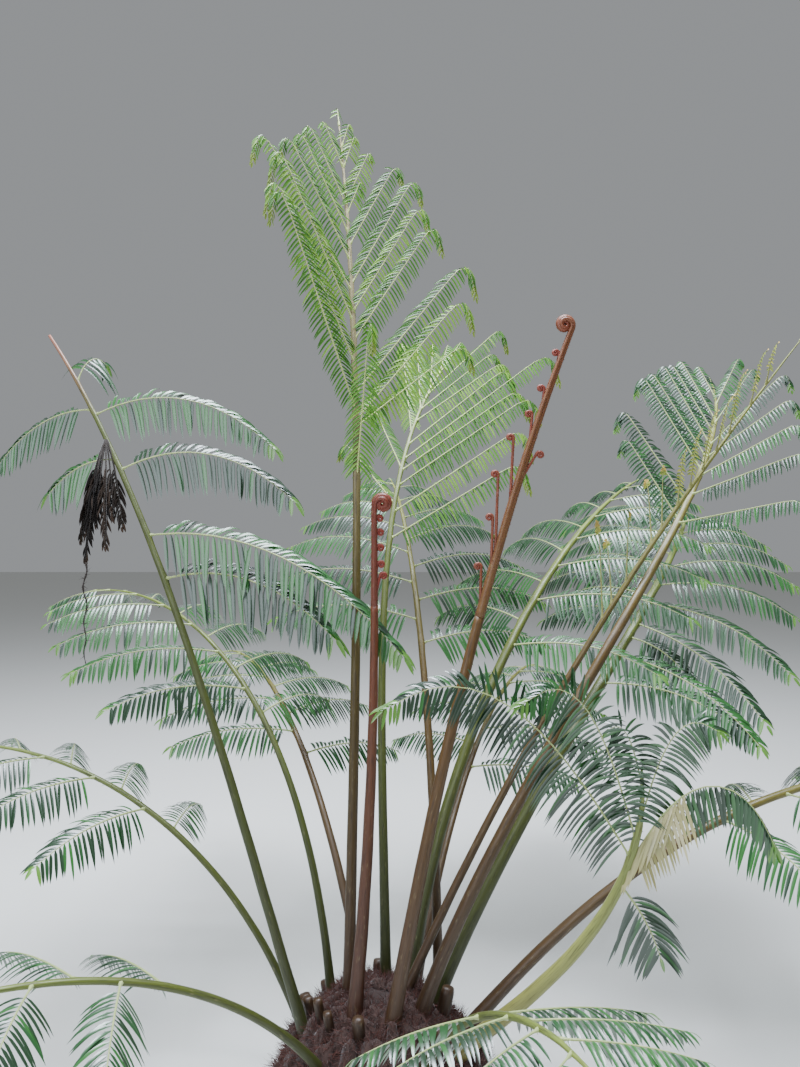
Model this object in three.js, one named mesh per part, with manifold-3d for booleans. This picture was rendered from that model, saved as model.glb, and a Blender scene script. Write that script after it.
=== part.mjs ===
// King fern: stout twice-divided fronds and two croziers rising from one short fibrous rootstock.
// Millimetres and degrees, +Z up, +X to the viewer's right, the viewer on the -Y side.
// The origin is in the flat cut at ground level, under the middle of the rootstock.

import * as THREE from 'three';
import { mergeVertices } from 'three/addons/utils/BufferGeometryUtils.js';
import Module from 'manifold-3d';

const wasm = await Module();
wasm.setup();

// Rootstock
const rootstockRadius = 380;
const rootstockHeight = 340;
const rootstockSides = 14;
const rootstockRings = 3;
const rootstockRoughness = 0.05; // share of the radius by which its outline swells and shrinks
const rootstockWaves = [3, 5]; // waves round the outline, one over the other
const footDepth = 40; // how far each stipe stands in its socket
const clearance = 0.3; // gap between pieces that touch

// Stipes and rachises
const lineSteps = 48; // straight lengths in every frond's centre line
const stipeSides = 7;
const rachisSides = 6;
const bendPerRing = 7; // degrees that a limb turns from one ring to the next
const leastRings = 3;
const footSwell = 0.35; // extra radius at the foot, as a share
const footSwellReach = 90;
const evenTaper = 0.55; // radius lost evenly from foot to tip, as a share of the foot's
const rachisTipShare = 0.12; // radius left at the frond's tip, as a share of the foot's
const tipTaperPower = 4; // how late the rest of the taper comes

// Pinnae: the side branches of a frond, each a rib with two rows of leaflets
const bladeStart = 0.02; // from the end of the stipe to the first pinna, as a share of the frond
const tipSink = 25; // how deep the last pinna stands in the rachis
const pairSpacing = 0.92; // below 1 the pinnae stand closer towards the tip
const nearShare = 0.55; // share of the pinnae on the near part of a blade in two parts
const stepLength = 270; // length of pinna that one pair of leaflets takes
const mostSteps = 5;
const leastSteps = 3;
const stalkLength = 55; // bare stalk from the rachis to the first leaflet
const endLeafletShare = 0.6; // length of the end leaflet, as a share of a step
const ribHalfWidth = 5;
const ribHeight = 6;
const ribTipShare = 0.45; // size of the rib at its tip
const firstPinna = 0.82; // length of the lowest pinna, as a share of the longest
const longestPinna = 0.2; // where on the blade the longest pinna stands
const tipLoss = 0.7; // share of the length that the last pinna lacks
const tipLossPower = 1.6;
const widthLoss = 0.3; // share of their leaflets' length that the last pinnae lack
const ribLoss = 0.35; // share of their rib's size
const leafletReach = 132; // length of the longest leaflet
const leafletFirst = 0.72; // length of the leaflet beside the rachis, as a share of the longest
const leafletLongest = 0.3; // where on the pinna the longest leaflet stands
const leafletTipLoss = 0.7;
const leafletTipPower = 3;
const leafletForward = 0.35; // how far a leaflet's tip leans towards the pinna's tip
const leafletHang = 0.3; // how far it hangs
const louverTilt = 20; // raises the forward leaflets above those of the next pinna
const skyward = 0.45; // how far a pinna turns its upper face to the sky
const angleScatter = 4;
const lengthScatter = 0.06;
const pinnaClearance = 1.5; // least gap between a pinna and any piece but its own rachis
const nudges = [0, 8, -8, 16, -16, 24]; // turns tried, up or down, for a pinna that would touch

// Croziers
const coilRadius = 32;
const coilShrink = 0.5; // size kept from one turn of the coil to the next
const coilTurns = 1.6;
const coilSteps = 11;
const hookSides = 4;
const hookRadius = 12;
const hookThickness = 5;
const hookLean = 0.25; // how far a hook leans away from the rachis
const hookTurns = 0.8;
const hookCoilSteps = 4;

// The dead pinna that hangs from the left frond, with a dry strand below it
const witheredFrond = 'left';
const witheredPlace = 0.8;
const witheredLength = 520;
const witheredStalk = 120;
const witheredWidth = 0.6;
const witheredDroop = 6;
const witheredHang = 0.6;
const strandLength = 400;
const strandRadius = 4;

// Colours of the plant's parts
const stipeGreen = { color: 0x66693a, roughness: 0.5, metalness: 0 };
const stipeBrown = { color: 0x5b4430, roughness: 0.55, metalness: 0 };
const stipeRed = { color: 0x6e4130, roughness: 0.55, metalness: 0 };
const leafGreen = { color: 0x4b7a4c, roughness: 0.45, metalness: 0 };
const leafYoung = { color: 0x8aa452, roughness: 0.5, metalness: 0 };
const crozierRed = { color: 0x9c4a38, roughness: 0.6, metalness: 0 };
const fibreBrown = { color: 0x4a2f22, roughness: 0.95, metalness: 0 };
const witheredBlack = { color: 0x2b2119, roughness: 0.9, metalness: 0 };

// The fronds. seat is the foot's place on the rootstock. rise is the angle above level and head the
// compass angle from +X, both from foot to tip, with bend and sweep the powers of their change.
// thick is the diameter at the foot and bare the share of the length below the first pinna.
// across is the compass angle that the pinnae spread along, set their angle off the rachis from
// first to last and lift the angle that they rise to the blade's upper face. span is the longest
// pinna and width the size of its leaflets. droop and hang are how strongly and how late a pinna
// bends down. bareTip is the share of the rachis that is left bare where its end is broken off, and
// tipShare the thickness left there. A frond that arches far is a near and a far node. own lists
// the pinnae of a frond that carries them unevenly: share of the blade, side, angle off the rachis,
// length and, for a wilted one, its own droop.
const fronds = [
  { name: 'tall', seat: [-120, 40], rise: [87, 76], bend: 0.8, head: [75, 117], sweep: 1.2,
    length: 3700, thick: 44, bare: 0.5, across: 207, lift: 14, width: 0.66, droop: 3.5, hang: 32,
    stipe: stipeBrown, leaf: leafYoung, own: [[0.04, -1, 0, 770], [0.16, -1, 53, 720],
    [0.175, -1, 37, 850], [0.2, 1, 24, 1070], [0.24, -1, 37, 900], [0.317, 1, 28, 980],
    [0.374, -1, 34, 730], [0.423, 1, 29, 850], [0.448, -1, 32, 720], [0.505, 1, 39, 840],
    [0.524, -1, 26, 680], [0.591, 1, 39, 670], [0.633, -1, 28, 550], [0.67, 1, 37, 560],
    [0.726, -1, 19, 180], [0.751, 1, 33, 410], [0.761, -1, 26, 310], [0.866, -1, 18, 180],
    [0.866, 1, 26, 250], [0.93, -1, 19, 130], [1, 1, 20, 100]] },
  { name: 'left', seat: [-270, -40], rise: [72, 47], bend: 2.3, head: [170, 148], sweep: 0.7,
    length: 3060, thick: 40, bare: 0.57, tipShare: 0.3, across: 168, width: 1.35, droop: 1.25,
    hang: 1.1, bareTip: 0.07, stipe: stipeGreen, leaf: leafGreen, own: [[0, -1, 94, 800],
    [0.16, -1, 108, 1160], [0.45, -1, 88, 850], [0.73, -1, 92, 820], [0.5, 1, 44, 420],
    [0.76, 1, 42, 550], [0.92, -1, 40, 220]] },
  { name: 'left_back', seat: [-190, 130], rise: [81, -6], bend: 1.3, head: [132, 150], sweep: 1,
    length: 2500, thick: 34, bare: 0.45, across: 235, pairs: 6, set: [75, 40], span: 760, droop: 0.6,
    hang: 1.6, far: true, stipe: stipeGreen, leaf: leafGreen },
  { name: 'low_left', seat: [-300, 90], rise: [68, -11], bend: 1.2, head: [172, 172], sweep: 1,
    length: 2100, thick: 32, bare: 0.42, across: 262, pairs: 5, set: [75, 40], span: 620, droop: 0.5,
    hang: 1.6, stipe: stipeGreen, leaf: leafGreen },
  { name: 'front_left', seat: [-190, -210], rise: [55, -14], bend: 1, head: [212, 215], sweep: 1,
    length: 1750, thick: 34, bare: 0.4, across: 305, pairs: 4, set: [76, 42], span: 560, droop: 0.5,
    hang: 1.6, stipe: stipeGreen, leaf: leafGreen },
  { name: 'back', seat: [20, 150], rise: [85, 40], bend: 1.16, head: [101, 52], sweep: 1.47,
    length: 3190, thick: 40, bare: 0.5, across: 176, lift: 5, width: 0.66, droop: 3.2, hang: 30,
    stipe: stipeGreen, leaf: leafYoung, own: [[0.112, -1, 51, 850], [0.201, -1, 46, 900],
    [0.232, 1, 46, 530], [0.299, -1, 44, 1000], [0.359, -1, 39, 910], [0.37, 1, 33, 500],
    [0.408, -1, 37, 1130], [0.472, -1, 38, 870], [0.528, 1, 15, 790], [0.587, -1, 38, 700],
    [0.65, -1, 30, 710], [0.65, 1, 18, 620], [0.733, -1, 22, 810], [0.769, 1, 18, 450],
    [0.863, 1, 10, 310], [0.923, -1, 4, 250], [1, 1, 20, 140]] },
  { name: 'back_left', seat: [232, 235], rise: [85, 15], bend: 1.4, head: [98, 98], sweep: 1,
    length: 2920, thick: 42, bare: 0.5, across: 188, pairs: 7, set: [72, 38], span: 800, droop: 0.7,
    hang: 1.8, far: true, stipe: stipeBrown, leaf: leafGreen },
  { name: 'back_right', seat: [112, 148], rise: [82, 13], bend: 1, head: [37, 53], sweep: 1,
    length: 3060, thick: 54, bare: 0.46, across: 138, pairs: 7, set: [72, 38], span: 820, droop: 0.7,
    hang: 1.8, far: true, stipe: stipeGreen, leaf: leafGreen },
  { name: 'behind', seat: [-70, 235], rise: [62, -12], bend: 1.2, head: [118, 118], sweep: 1,
    length: 2500, thick: 38, bare: 0.4, across: 208, pairs: 6, set: [74, 40], span: 700, droop: 0.6,
    hang: 1.6, far: true, stipe: stipeBrown, leaf: leafGreen },
  { name: 'behind_right', seat: [130, 290], rise: [60, -12], bend: 1.2, head: [66, 66], sweep: 1,
    length: 2500, thick: 38, bare: 0.4, across: 156, pairs: 6, set: [74, 40], span: 700, droop: 0.6,
    hang: 1.6, far: true, stipe: stipeBrown, leaf: leafGreen },
  { name: 'unrolling', seat: [80, 40], rise: [62, 52], bend: 0.9, head: [22, -2], sweep: 1,
    length: 3110, thick: 36, bare: 0.49, across: 100, lift: 34, width: 0.35, droop: 0.8, hang: 6,
    stipe: stipeBrown, leaf: leafYoung, own: [[0.038, -1, -2, 430], [0.08, 1, 10, 270],
    [0.146, -1, 5, 320], [0.27, 1, 10, 300], [0.319, -1, -4, 250], [0.396, 1, -12, 250],
    [0.459, -1, 12, 260], [0.522, 1, -17, 270], [0.589, -1, 28, 260], [0.654, 1, -19, 290],
    [0.76, -1, 23, 240], [0.835, 1, -16, 180], [1, 1, 20, 120]] },
  { name: 'far_right', seat: [140, -60], rise: [72, 28], bend: 0.8, head: [0, 77], sweep: 1.1,
    length: 3650, thick: 50, bare: 0.56, across: 160, lift: 34, width: 0.55, droop: 3.5, hang: 32,
    stipe: stipeBrown, leaf: leafGreen, own: [[0.08, -1, 99, 730], [0.093, 1, 59, 510],
    [0.164, 1, 59, 620], [0.2, -1, 84, 670], [0.291, -1, 79, 550], [0.323, 1, 50, 650],
    [0.394, 1, 46, 640], [0.394, -1, 65, 510], [0.471, 1, 42, 570], [0.471, -1, 52, 570],
    [0.554, 1, 40, 520], [0.624, -1, 31, 400], [0.649, 1, 35, 490], [0.784, -1, 29, 360],
    [0.845, 1, 29, 260], [1, 1, 20, 150]] },
  { name: 'right', seat: [190, 50], rise: [66, 16], bend: 1, head: [12, 71], sweep: 1, length: 3110,
    thick: 60, bare: 0.45, across: 156, lift: 8, droop: 0.9, hang: 1.7, far: true, stipe: stipeGreen,
    leaf: leafGreen, own: [[0, -1, 73, 700], [0.085, -1, 88, 690], [0.147, -1, 93, 340],
    [0.2, -1, 99, 710], [0.228, 1, 83, 560], [0.288, -1, 89, 750], [0.313, 1, 78, 500],
    [0.372, -1, 69, 660], [0.382, 1, 77, 690], [0.463, 1, 70, 670], [0.467, -1, 60, 620],
    [0.548, 1, 63, 740], [0.588, -1, 61, 600], [0.631, 1, 55, 950], [0.71, -1, 72, 480],
    [0.731, 1, 52, 1050], [0.821, 1, 45, 950], [0.835, -1, 79, 320], [0.915, 1, 60, 500],
    [1, 1, 20, 200]] },
  { name: 'front_right', seat: [265, -110], rise: [41, 96], bend: 2, head: [350, 335], sweep: 1,
    length: 1330, thick: 60, bare: 0.66, across: 180, width: 1.2, droop: 1.1, hang: 2.2,
    stipe: stipeGreen, leaf: leafGreen, own: [[0.006, -1, 118, 340], [0.122, -1, 6, 740, 1.83],
    [0.231, 1, 49, 1120], [0.39, 1, 28, 810], [0.508, -1, 6, 550], [0.865, 1, 12, 280]] },
  { name: 'low_right', seat: [300, 20], rise: [49, -13], bend: 1.41, head: [0, 8], sweep: 0.9,
    length: 2500, thick: 50, bare: 0.5, across: 94, pairs: 5, set: [74, 40], span: 680, droop: 0.7,
    hang: 1.6, stipe: stipeBrown, leaf: leafGreen },
  { name: 'front', seat: [150, -230], rise: [60, 0], bend: 1, head: [300, 285], sweep: 1, length: 1300,
    thick: 36, bare: 0.42, across: 15, pairs: 4, set: [80, 44], span: 550, droop: 0.3, hang: 1.6,
    stipe: stipeGreen, leaf: leafGreen },
];

// The croziers. curl is the side their coil rolls to and hookSide the side of most small hooks. hooks
// lists them: place along the line, side and length of stalk.
const croziers = [
  { name: 'left', seat: [-95, -100], rise: [82, 92], bend: 1.2, head: [44, 71], sweep: 1, length: 1910,
    thick: 50, bare: 0.8, tipShare: 0.4, curl: 0, hookSide: 0, stipe: stipeRed, hooks: [[0.83, 1, 60],
    [0.87, 1, 25], [0.905, 1, 20], [0.935, 1, 20], [0.965, 1, 15]] },
  { name: 'right', seat: [40, -140], rise: [79.5, 67], bend: 1.5, head: [10, 18], sweep: 1, length: 2680,
    thick: 52, bare: 0.57, tipShare: 0.36, curl: 180, hookSide: 180, stipe: stipeBrown,
    hooks: [[0.59, 1, 130], [0.645, 1, 170], [0.665, 1, 280], [0.735, 1, 240], [0.775, -1, 100],
    [0.825, 1, 100], [0.88, 1, 60], [0.943, 1, 40]] },
];

const up = new THREE.Vector3(0, 0, 1);

// A repeatable scatter between -1 and 1, told by two numbers.
function scatter(seed, step) {
  const wave = Math.sin(seed * 12.9898 + step * 78.233) * 43758.5453;
  return 2 * (wave - Math.floor(wave)) - 1;
}

function mix([from, to], share) {
  return from + (to - from) * share;
}

function radians(angle) {
  return THREE.MathUtils.degToRad(angle);
}

function heading(angle, rise = 0) {
  const level = Math.cos(radians(rise));
  const [x, y] = [level * Math.cos(radians(angle)), level * Math.sin(radians(angle))];
  return new THREE.Vector3(x, y, Math.sin(radians(rise)));
}

function squareTo(side, ahead) {
  return side.clone().addScaledVector(ahead, -side.dot(ahead)).normalize();
}

function rootstockTop(distance) {
  return rootstockHeight * Math.sqrt(1 - (distance / rootstockRadius) ** 2);
}

// The centre line of a frond, as straight lengths that rise or bend over and swing round.
function centreLine(frond) {
  const [x, y] = frond.seat;
  const points = [new THREE.Vector3(x, y, rootstockTop(Math.hypot(x, y)) - footDepth)];
  for (let step = 0; step < lineSteps; step += 1) {
    const share = (step + 0.5) / lineSteps;
    const rise = mix(frond.rise, share ** frond.bend);
    const head = mix(frond.head, share ** frond.sweep);
    const next = points[step].clone();
    points.push(next.addScaledVector(heading(head, rise), frond.length / lineSteps));
  }
  return points;
}

// The point of a centre line and its direction at a share of its length.
function along(points, share) {
  const place = share * lineSteps;
  const step = THREE.MathUtils.clamp(Math.floor(place), 0, lineSteps - 1);
  const point = points[step].clone().lerp(points[step + 1], place - step);
  const middle = THREE.MathUtils.clamp(place - 0.5, 0, lineSteps - 1);
  const near = Math.min(Math.floor(middle), lineSteps - 2);
  const before = points[near + 1].clone().sub(points[near]);
  const after = points[near + 2].clone().sub(points[near + 1]);
  return { point, ahead: before.lerp(after, middle - near).normalize() };
}

function limbRadius(frond, share) {
  const swell = 1 + footSwell * Math.exp((-share * frond.length) / footSwellReach);
  const tip = frond.tipShare ?? rachisTipShare;
  const late = (1 - evenTaper - tip) * share ** tipTaperPower;
  return (frond.thick / 2) * (1 - evenTaper * share - late) * swell;
}

// The stations of a limb from one share of a frond's line to another, closer where it bends.
function limbStations(frond, points, [from, to]) {
  const turn = along(points, from).ahead.angleTo(along(points, to).ahead);
  const rings = Math.max(leastRings, Math.ceil(THREE.MathUtils.radToDeg(turn) / bendPerRing));
  const stations = [];
  for (let ring = 0; ring <= rings; ring += 1) {
    const share = mix([from, to], ring / rings);
    stations.push({ ...along(points, share), radius: limbRadius(frond, share) });
  }
  return stations;
}

// A closed cylinder bent through its stations: a point, a direction and a radius each.
function limb(stations, sides, side) {
  const rings = stations.length - 1;
  const geometry = new THREE.CylinderGeometry(1, 1, 1, sides, rings);
  const place = geometry.getAttribute('position');
  for (let i = 0; i < place.count; i += 1) {
    const station = stations[Math.round((place.getY(i) + 0.5) * rings)];
    const outward = squareTo(side, station.ahead);
    const around = outward.clone().cross(station.ahead);
    const point = station.point.clone();
    point.addScaledVector(outward, place.getX(i) * station.radius);
    point.addScaledVector(around, place.getZ(i) * station.radius);
    place.setXYZ(i, point.x, point.y, point.z);
  }
  return toSolid(geometry);
}

function toSolid(geometry) {
  geometry.deleteAttribute('normal');
  geometry.deleteAttribute('uv');
  const merged = mergeVertices(geometry, 1e-3);
  const vertProperties = new Float32Array(merged.getAttribute('position').array);
  const triVerts = new Uint32Array(merged.getIndex().array);
  return new wasm.Manifold(new wasm.Mesh({ numProp: 3, vertProperties, triVerts }));
}

function toGeometry(solid) {
  const mesh = solid.getMesh();
  const geometry = new THREE.BufferGeometry();
  geometry.setAttribute('position', new THREE.BufferAttribute(mesh.vertProperties, 3));
  geometry.setIndex(new THREE.BufferAttribute(mesh.triVerts, 1));
  geometry.computeVertexNormals();
  return geometry;
}

// The stations of a pinna's rib: its point, direction, left side, upper side and size.
function ribStations(pinna) {
  const marks = [0];
  for (let step = 0; step <= pinna.steps; step += 1) {
    marks.push(mix([pinna.stalk, pinna.length], step / (pinna.fullSteps + endLeafletShare)));
  }
  const point = pinna.root.clone();
  const tilt = radians(louverTilt);
  return marks.map((mark, index) => {
    const share = mark / pinna.length;
    const ahead = pinna.ahead.clone().addScaledVector(up, -pinna.droop * share ** pinna.hang);
    ahead.normalize();
    if (index > 0) {
      point.addScaledVector(ahead, mark - marks[index - 1]);
    }
    const upper = squareTo(pinna.upper, ahead);
    const left = upper.clone().cross(ahead);
    const raise = Math.sign(left.dot(pinna.towards)) * Math.sin(tilt);
    return {
      point: point.clone(),
      ahead,
      left: left.clone().multiplyScalar(Math.cos(tilt)).addScaledVector(upper, raise),
      upper: upper.clone().multiplyScalar(Math.cos(tilt)).addScaledVector(left, -raise),
      size: pinna.size * mix([1, ribTipShare], share),
      share,
      mark,
    };
  });
}

// A leaflet is short beside the rachis, longest a third of the way out and shorter at the tip.
function leafletLength(pinna, share) {
  const opening = mix([leafletFirst, 1], Math.min(1, share / leafletLongest));
  return leafletReach * pinna.width * opening * (1 - leafletTipLoss * share ** leafletTipPower);
}

// A pinna: a three-sided rib with a four-faced leaflet on each side of every step.
function pinnaSolid(pinna) {
  const stations = ribStations(pinna);
  const vertices = [];
  const faces = [];
  const add = (point) => vertices.push(point) - 1;
  const rings = stations.map(({ point, left, upper, size }) => ({
    left: add(point.clone().addScaledVector(left, ribHalfWidth * size)),
    right: add(point.clone().addScaledVector(left, -ribHalfWidth * size)),
    top: add(point.clone().addScaledVector(upper, ribHeight * size)),
  }));
  faces.push([rings[0].left, rings[0].right, rings[0].top]);
  for (let step = 1; step < rings.length; step += 1) {
    const [from, to] = [rings[step - 1], rings[step]];
    const [near, far] = [stations[step - 1], stations[step]];
    const reach = leafletLength(pinna, (near.share + far.share) / 2);
    const sides = [
      { quad: [from.left, from.top, to.top, to.left], out: reach },
      { quad: [from.top, from.right, to.right, to.top], out: -reach },
    ];
    for (const { quad: [a, b, c, d], out } of sides) {
      if (step === 1) {
        faces.push([a, b, c], [a, c, d]);
      } else {
        const point = near.point.clone().lerp(far.point, 0.5 + leafletForward);
        point.addScaledVector(far.left, out).addScaledVector(up, -leafletHang * reach);
        const tip = add(point);
        faces.push([a, b, tip], [b, c, tip], [c, d, tip], [d, a, tip]);
      }
    }
    faces.push([from.right, from.left, to.left], [from.right, to.left, to.right]);
  }
  const last = rings[rings.length - 1];
  const end = stations[stations.length - 1];
  const endLeaflet = (pinna.length - pinna.stalk) / (pinna.fullSteps / endLeafletShare + 1);
  const tip = add(end.point.clone().addScaledVector(end.ahead, endLeaflet));
  faces.push([last.left, last.top, tip], [last.top, last.right, tip], [last.right, last.left, tip]);
  const geometry = new THREE.BufferGeometry().setFromPoints(vertices);
  geometry.setIndex(faces.flat());
  return toSolid(geometry);
}

// Pinnae left and right by turns: share of the blade, side, angle off the rachis and length.
function spacedPinnae(frond) {
  const last = frond.pairs * 2;
  return Array.from({ length: last + 1 }, (_, index) => {
    const share = index / last;
    const opening = mix([firstPinna, 1], Math.min(1, share / longestPinna));
    const shortening = opening * (1 - tipLoss * share ** tipLossPower);
    const side = index % 2 === 0 ? -1 : 1;
    return [share, side, mix(frond.set, share), frond.span * shortening];
  });
}

// The pinnae of a frond, from the lowest to the one at its tip.
function pinnaeOf(frond, points) {
  const across = heading(frond.across);
  const last = 1 - (frond.bareTip ?? tipSink / frond.length);
  return (frond.own ?? spacedPinnae(frond)).map(([share, turn, set, span, droop], index) => {
    const place = mix([frond.bare + bladeStart, last], share ** pairSpacing);
    const { point, ahead } = along(points, place);
    const side = squareTo(across, ahead).multiplyScalar(turn);
    const upper = ahead.clone().cross(across).normalize();
    const seed = frond.seat[0] + index;
    const angle = radians(set + angleScatter * scatter(seed, 1));
    const out = ahead.clone().multiplyScalar(Math.cos(angle)).addScaledVector(side, Math.sin(angle));
    out.addScaledVector(upper, Math.tan(radians(frond.lift ?? 0))).normalize();
    const atTip = share === 1;
    const length = span * (1 + lengthScatter * scatter(seed, 2));
    const steps = THREE.MathUtils.clamp(Math.round(length / stepLength), leastSteps, mostSteps);
    return {
      root: point,
      place,
      ahead: atTip ? ahead : out,
      towards: atTip ? side : ahead,
      upper: upper.lerp(up, skyward).normalize(),
      length,
      droop: droop ?? frond.droop,
      hang: frond.hang,
      stalk: stalkLength,
      width: (frond.width ?? 1) * (1 - widthLoss * share),
      size: 1 - ribLoss * share,
      steps,
      fullSteps: steps,
    };
  });
}

function boxesMeet(a, b, gap) {
  return [0, 1, 2].every((axis) => (
    a.min[axis] < b.max[axis] + gap && b.min[axis] < a.max[axis] + gap
  ));
}

function clearOf(solid, others, gap) {
  const box = solid.boundingBox();
  const searchLength = 2 * gap;
  return others.every((other) => (
    !boxesMeet(box, other.boundingBox(), gap) || solid.minGap(other, searchLength) >= gap
  ));
}

// A pinna that clears the pieces that stand already: turned up or down a little, or else shorter.
function fitPinna(pinna, standing) {
  for (let steps = pinna.steps; steps >= leastSteps - 1; steps -= 1) {
    for (const nudge of nudges) {
      const ahead = pinna.ahead.clone().addScaledVector(up, Math.tan(radians(nudge))).normalize();
      const solid = pinnaSolid({ ...pinna, ahead, steps });
      if (clearOf(solid, standing, pinnaClearance)) {
        return solid;
      }
    }
  }
  return null;
}

// A frond's rachis with the pinnae that grow from it between two shares of its line.
function bladeSolid(rachis, pinnae, standing) {
  let blade = rachis;
  for (const pinna of pinnae) {
    const solid = fitPinna(pinna, standing);
    if (solid) {
      blade = blade.add(solid);
    }
  }
  return blade;
}

// The stations of a spiral that winds in from the end of a limb.
function spiralStations(start, towards, radius, thickness, turns, steps) {
  const stations = [];
  const centre = start.point.clone().addScaledVector(towards, radius);
  for (let step = 0; step <= steps; step += 1) {
    const angle = (step / steps) * turns * 2 * Math.PI;
    const shrink = coilShrink ** ((step / steps) * turns);
    const spoke = towards.clone().multiplyScalar(-Math.cos(angle));
    spoke.addScaledVector(start.ahead, Math.sin(angle));
    const ahead = towards.clone().multiplyScalar(Math.sin(angle));
    ahead.addScaledVector(start.ahead, Math.cos(angle));
    const point = centre.clone().addScaledVector(spoke, radius * shrink);
    stations.push({ point, ahead, radius: thickness * shrink });
  }
  return stations;
}

// A young pinna still rolled up: a thin stalk with a small coil at its end.
function hookSolid(root, out, towards, length) {
  const start = { point: root, ahead: out, radius: hookThickness };
  const end = { point: root.clone().addScaledVector(out, length), ahead: out };
  const coil = spiralStations(end, towards, hookRadius, hookThickness, hookTurns, hookCoilSteps);
  return limb([start, ...coil], hookSides, out.clone().cross(towards));
}

// The upper end of a crozier: rachis, coil and the hooks beside it.
function crozierSolid(frond, points) {
  const from = frond.bare + clearance / frond.length;
  const stations = limbStations(frond, points, [from, 1]);
  const end = stations.pop();
  const towards = squareTo(heading(frond.curl), end.ahead);
  const coil = spiralStations(end, towards, coilRadius, end.radius, coilTurns, coilSteps);
  const flat = end.ahead.clone().cross(towards);
  let solid = limb([...stations, ...coil], rachisSides, flat);
  for (const [share, turn, length] of frond.hooks) {
    const { point, ahead } = along(points, share);
    const side = squareTo(heading(frond.hookSide), ahead).multiplyScalar(turn);
    const out = ahead.clone().addScaledVector(side, hookLean).normalize();
    const start = point.clone().addScaledVector(side, limbRadius(frond, share) - hookThickness);
    solid = solid.add(hookSolid(start, out, squareTo(side, out), length));
  }
  return solid;
}

// The dead pinna starts just clear of the rachis, on its front edge, and hangs straight down.
function witheredSolid(frond, points, rachis) {
  const { point, ahead } = along(points, witheredPlace);
  const front = squareTo(heading(frond.across), ahead).cross(ahead).negate();
  const root = point.clone().addScaledVector(front, limbRadius(frond, witheredPlace) + clearance);
  const pinna = {
    root,
    ahead: front,
    towards: ahead,
    upper: ahead,
    length: witheredLength,
    droop: witheredDroop,
    hang: witheredHang,
    stalk: witheredStalk,
    width: witheredWidth,
    size: 1,
    steps: mostSteps,
    fullSteps: mostSteps,
  };
  const end = ribStations(pinna).pop();
  const strand = [0, 1].map((share) => ({
    point: end.point.clone().addScaledVector(up, -share * strandLength),
    ahead: up.clone().negate(),
    radius: mix([strandRadius, strandRadius / 2], share),
  }));
  const solid = pinnaSolid(pinna).add(limb(strand, hookSides, front));
  const spare = solid.minGap(rachis, witheredLength) - clearance;
  return solid.translate(front.multiplyScalar(-spare).toArray());
}

// The rootstock: an uneven dome with a flat underside.
function rootstockSolid() {
  const profile = [new THREE.Vector2(0, 0), new THREE.Vector2(rootstockRadius, 0)];
  for (let ring = 1; ring < rootstockRings; ring += 1) {
    const angle = (ring / rootstockRings) * (Math.PI / 2);
    const radius = rootstockRadius * Math.cos(angle);
    profile.push(new THREE.Vector2(radius, rootstockTop(radius)));
  }
  profile.push(new THREE.Vector2(0, rootstockHeight));
  const geometry = new THREE.LatheGeometry(profile, rootstockSides);
  geometry.rotateX(Math.PI / 2);
  const place = geometry.getAttribute('position');
  for (let i = 0; i < place.count; i += 1) {
    const turn = Math.atan2(place.getY(i), place.getX(i));
    const waves = rootstockWaves.map((wave) => Math.sin(wave * turn));
    const swell = 1 + rootstockRoughness * waves[0] * waves[1];
    place.setXYZ(i, place.getX(i) * swell, place.getY(i) * swell, place.getZ(i));
  }
  return toSolid(geometry);
}

const group = new THREE.Group();

function addPart(name, solid, look) {
  const mesh = new THREE.Mesh(toGeometry(solid), new THREE.MeshStandardMaterial(look));
  mesh.name = name;
  group.add(mesh);
}

// Every frond's line, stipe and rachis are made first, so that the pinnae can keep clear of them.
const limbs = [...fronds, ...croziers].map((frond) => {
  const points = centreLine(frond);
  const side = heading(frond.across ?? frond.hookSide);
  const stations = limbStations(frond, points, [0, frond.bare]);
  const stipe = limb(stations, stipeSides, side);
  const walls = stations.map((station) => ({ ...station, radius: station.radius + clearance }));
  walls[0].point = walls[0].point.clone().addScaledVector(walls[0].ahead, -clearance);
  return { frond, points, side, stipe, socket: limb(walls, stipeSides, side) };
});

let rootstock = rootstockSolid();
for (const { socket } of limbs) {
  rootstock = rootstock.subtract(socket);
}
addPart('rootstock', rootstock, fibreBrown);
for (const { frond, stipe } of limbs) {
  addPart(`stipe_${frond.hooks ? 'crozier_' : ''}${frond.name}`, stipe, frond.stipe);
}

const standing = [rootstock, ...limbs.map(({ stipe }) => stipe)];
for (const { frond, points } of limbs.filter(({ frond: { hooks } }) => hooks)) {
  const crozier = crozierSolid(frond, points);
  addPart(`crozier_${frond.name}`, crozier, crozierRed);
  standing.push(crozier);
}

// A blade that arches over far is two nodes, parted halfway between two pinnae.
const blades = limbs.filter(({ frond: { hooks } }) => !hooks).flatMap(({ frond, points, side }) => {
  const pinnae = pinnaeOf(frond, points);
  const start = frond.bare + clearance / frond.length;
  const half = Math.round(pinnae.length * nearShare);
  const cuts = frond.far ? [start, (pinnae[half - 1].place + pinnae[half].place) / 2, 1] : [start, 1];
  return cuts.slice(1).map((to, part) => {
    const from = cuts[part] + (part > 0 ? clearance / frond.length : 0);
    const stations = limbStations(frond, points, [from, to]);
    return {
      name: `blade_${frond.name}${part > 0 ? '_far' : ''}`,
      leaf: frond.leaf,
      rachis: limb(stations, rachisSides, side),
      pinnae: pinnae.filter(({ place }) => place >= from && place <= to),
    };
  });
});
blades.forEach(({ name, leaf, rachis, pinnae }, index) => {
  const rest = blades.slice(index + 1).map((blade) => blade.rachis);
  const blade = bladeSolid(rachis, pinnae, [...standing, ...rest]);
  addPart(name, blade, leaf);
  standing.push(blade);
});

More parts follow.
